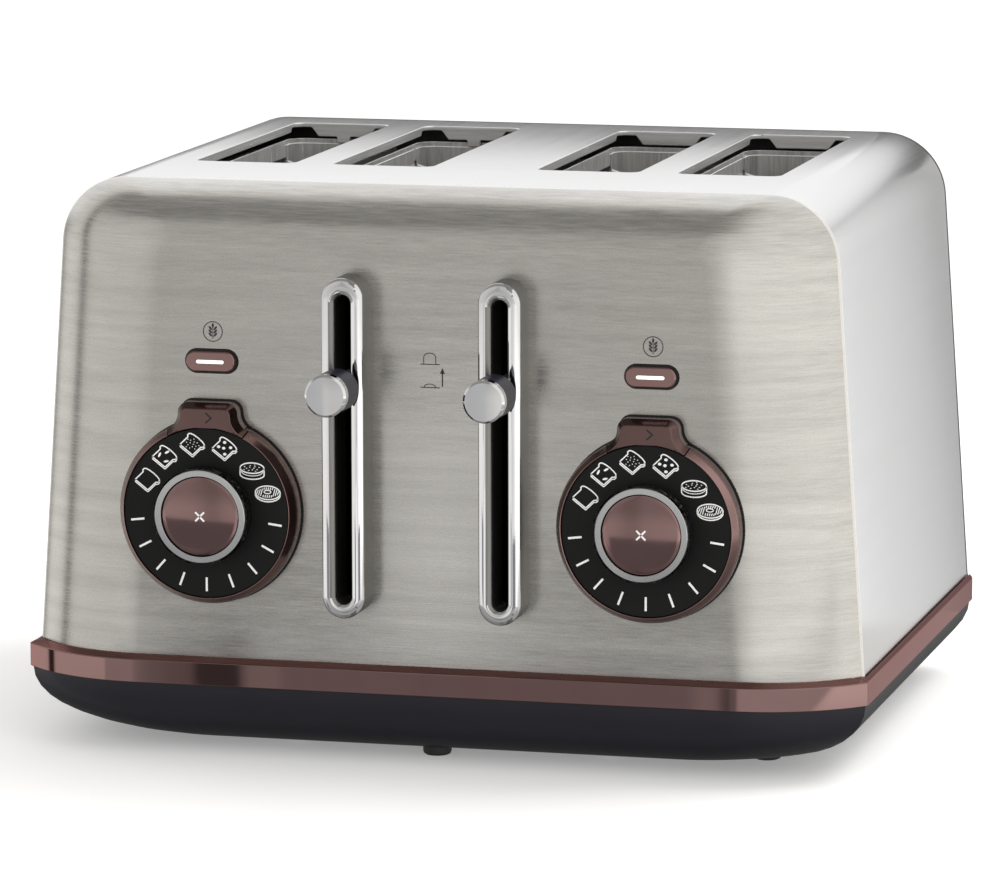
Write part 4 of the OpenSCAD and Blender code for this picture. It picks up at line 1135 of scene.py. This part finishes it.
def liftSignLines(values):
    (wide, high), (wallZ, crownZ) = pick(values, "loaf", "loafZ")
    highZ, lowZ, x, line, breadLine = pick(values, "highZ", "lowZ", "arrowX", "line", "breadLine")
    crown = arc(0, crownZ, wide, high, (2.9, 2.5, 2.1, 1.57, 1.04, 0.64, 0.24))
    loaf = [(-wide, highZ), (-wide, wallZ), *crown, (wide, wallZ), (wide, highZ)]
    dome = arc(0, lowZ, *values["dome"], (3.14, 2.6, 2.0, 1.57, 1.14, 0.54, 0.0))
    highRest, lowRest, shaft = ([(a, highZ) for a in values["rest"]], [(a, lowZ) for a in values["rest"]],
                                [(x, z) for z in values["arrowZ"]])
    half, foot, tip = values["head"]
    lines = [(highRest, line, False), (loaf, breadLine, False), (lowRest, line, False),
             (dome, breadLine, False), (shaft, values["arrowLine"], False)]
    return lines, [[(x - half, foot), (x + half, foot), (x, tip)]]


tickShape = tickTree(ticks)
for side, end in sides:
    body = "_" + end.lower()
    cx, cz, presetZ = side * openings["dialX"], openings["dialZ"], openings["presetZ"]
    fronts = [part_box(node + "_button" + body)[0].y / mm + sunk for node in ("cancel", "select", "preset")]
    pill, bar = ([(cx + a, presetZ + b) for a, b in ovalPoints(*size, steps)]
                 for size, steps in ((shadowGap["preset"], 10), (lightBar["size"], 8)))
    addPiece("dialTicks" + end, moved(grow(tickShape, ticks, "whiteInk"), cx, faceFront - 2 * sunk, cz),
             "toaster_body")
    # a black outline round the dial, tab and preset pill: painted shadow gap
    addMark("dialShadowGap" + end, "toaster_body", "darkSeal", frontPlane - sunk, shadowGap["depth"],
            blots=[dialOutline(cx, cz, shadowGap), pill])
    addMark("breadSigns" + end, "toaster_body", "whiteInk", faceFront + sunk, ink["faceDepth"],
            *signLines(cx, cz, signs))
    addMark("cancelCross" + end, "cancel" + body, "whiteInk", fronts[0], cross["depth"],
            crossLines(cx, cz, cross))
    addMark("selectArrow" + end, "select" + body, "darkSeal", fronts[1], arrow["depth"],
            arrowLines(cx, cz, arrow))
    addMark("presetLight" + end, "preset" + body, "lightBar", fronts[2], lightBar["depth"], blots=[bar])
    addMark("roundSign" + end, "toaster_body", "darkInk", frontPlane + sunk, ink["panelDepth"],
            *roundSignLines(cx + roundSign["shift"], roundSign))
addMark("liftSign", "toaster_body", "darkInk", frontPlane + sunk, ink["panelDepth"], *liftSignLines(liftSign))
print("printed marks made")

# bread guides: upright wires between two rails, with a short bar through each foot
guide = {"Wires": 9, "Radius": 0.95 * mm, "Rail": 1.15 * mm, "Foot": 52 * mm, "Top": 194 * mm,
         "Front": -22 * mm, "Length": 137 * mm}
guideFeet = {"y": (-26.2, 118.9), "z": 52, "radius": 1.22, "length": 8.2, "shift": 17}
slotCentres = (-96.44, -40.95, 40.95, 96.44)


def guideTree(values):
    tree, start, end = shapeTree("wireGuide", values)
    value = start.outputs

    def tube(a, b, radius):
        path = result(tree, "GeometryNodeCurvePrimitiveLine", {"Start": a, "End": b})
        ring = result(tree, "GeometryNodeCurvePrimitiveCircle", {"Resolution": 14, "Radius": radius})
        return swept(tree, path, ring, True)

    front, foot, top = (value[label] for label in ("Front", "Foot", "Top"))
    far = calc(tree, "ADD", front, value["Length"])
    step = calc(tree, "DIVIDE", value["Length"], calc(tree, "SUBTRACT", value["Wires"], 1.0))
    wire = tube(vector(tree, z=foot), vector(tree, z=top), value["Radius"])
    row = spotRow(tree, value["Wires"], vector(tree, y=front), vector(tree, y=step))
    both = addNode(tree, "GeometryNodeJoinGeometry", {0: copiesOn(tree, row, wire)})
    for z in (foot, top):
        rail = tube(vector(tree, y=front, z=z), vector(tree, y=far, z=z), value["Rail"])
        join(tree, rail, both.inputs[0])
    return endTree(tree, both.outputs[0], start, end)


def addGuideFeet(mesh, values):
    shape = fromMesh(mesh)
    radius = values["radius"] * mm
    for y in values["y"]:
        place = Matrix.Translation((0, y * mm, values["z"] * mm)) @ Matrix.Rotation(pi / 2, 4, "X")
        bmesh.ops.create_cone(shape, cap_ends=True, segments=20, radius1=radius, radius2=radius,
                              depth=values["length"] * mm, matrix=place)
    shape.to_mesh(mesh)
    shape.free()


guideShape = guideTree(guide)
for number, centre in enumerate(slotCentres, 1):
    for letter, way in (("a", -1), ("b", 1)):
        place = "%d%s" % (number, letter)
        mesh = grow(guideShape, guide, "brightWire")
        addGuideFeet(mesh, guideFeet)
        mesh = smoothMesh(moved(mesh, centre + way * guideFeet["shift"], 0, 0))
        standIn("bread_guide_" + place, "breadGuide" + place, mesh, "brightWire")

# heating ribbons: thin strips wound round each board
windings = {"Turns": 17, "Low": 58 * mm, "Step": 7.9 * mm, "Half Length": 70 * mm, "Half Width": 0.75 * mm,
            "Tall": 1.5 * mm, "Thick": 0.22 * mm}
boards = {"x": (-124.185, -68.695, -13.205, 13.205, 68.695, 124.185), "y": 46.5}


def heaterTree(values):
    tree, start, end = shapeTree("heaterRibbon", values)
    value = start.outputs
    wide, long = (calc(tree, "MULTIPLY", value[label], 2.0) for label in ("Half Width", "Half Length"))
    loop, band = (result(tree, "GeometryNodeCurvePrimitiveQuadrilateral", {"Width": a, "Height": b})
                  for a, b in ((wide, long), (value["Thick"], value["Tall"])))
    row = spotRow(tree, value["Turns"], vector(tree, z=value["Low"]), vector(tree, z=value["Step"]))
    return endTree(tree, copiesOn(tree, row, swept(tree, loop, band)), start, end)


heaterShape = heaterTree(windings)
for number, x in enumerate(boards["x"], 1):
    mesh = moved(grow(heaterShape, windings, "heaterRibbon"), x, boards["y"], 0)
    addPiece("heaterRibbon%d" % number, mesh, "toaster_body")
print("guides and ribbons made")

# finishes of the solids that stay as they are
plainNodes = {
    "mattBlack": ("lever_channels",), "polishedChrome": ("guide_rods",), "rearPlastic": ("latch_magnets",),
    "brightWire": ("lift_spring_left", "lift_spring_right"), "micaBoard": ("heater_boards",),
    "innerSheet": ("chamber_front", "chamber_rear", "reflectors"),
    "circuitBoard": ("control_boards", "power_board"),
}
for material, nodes in plainNodes.items():
    for node in nodes:
        piece = frame["nodes"][node]
        piece.data.materials.clear()
        piece.data.materials.append(finish[material])
print("solids dressed")
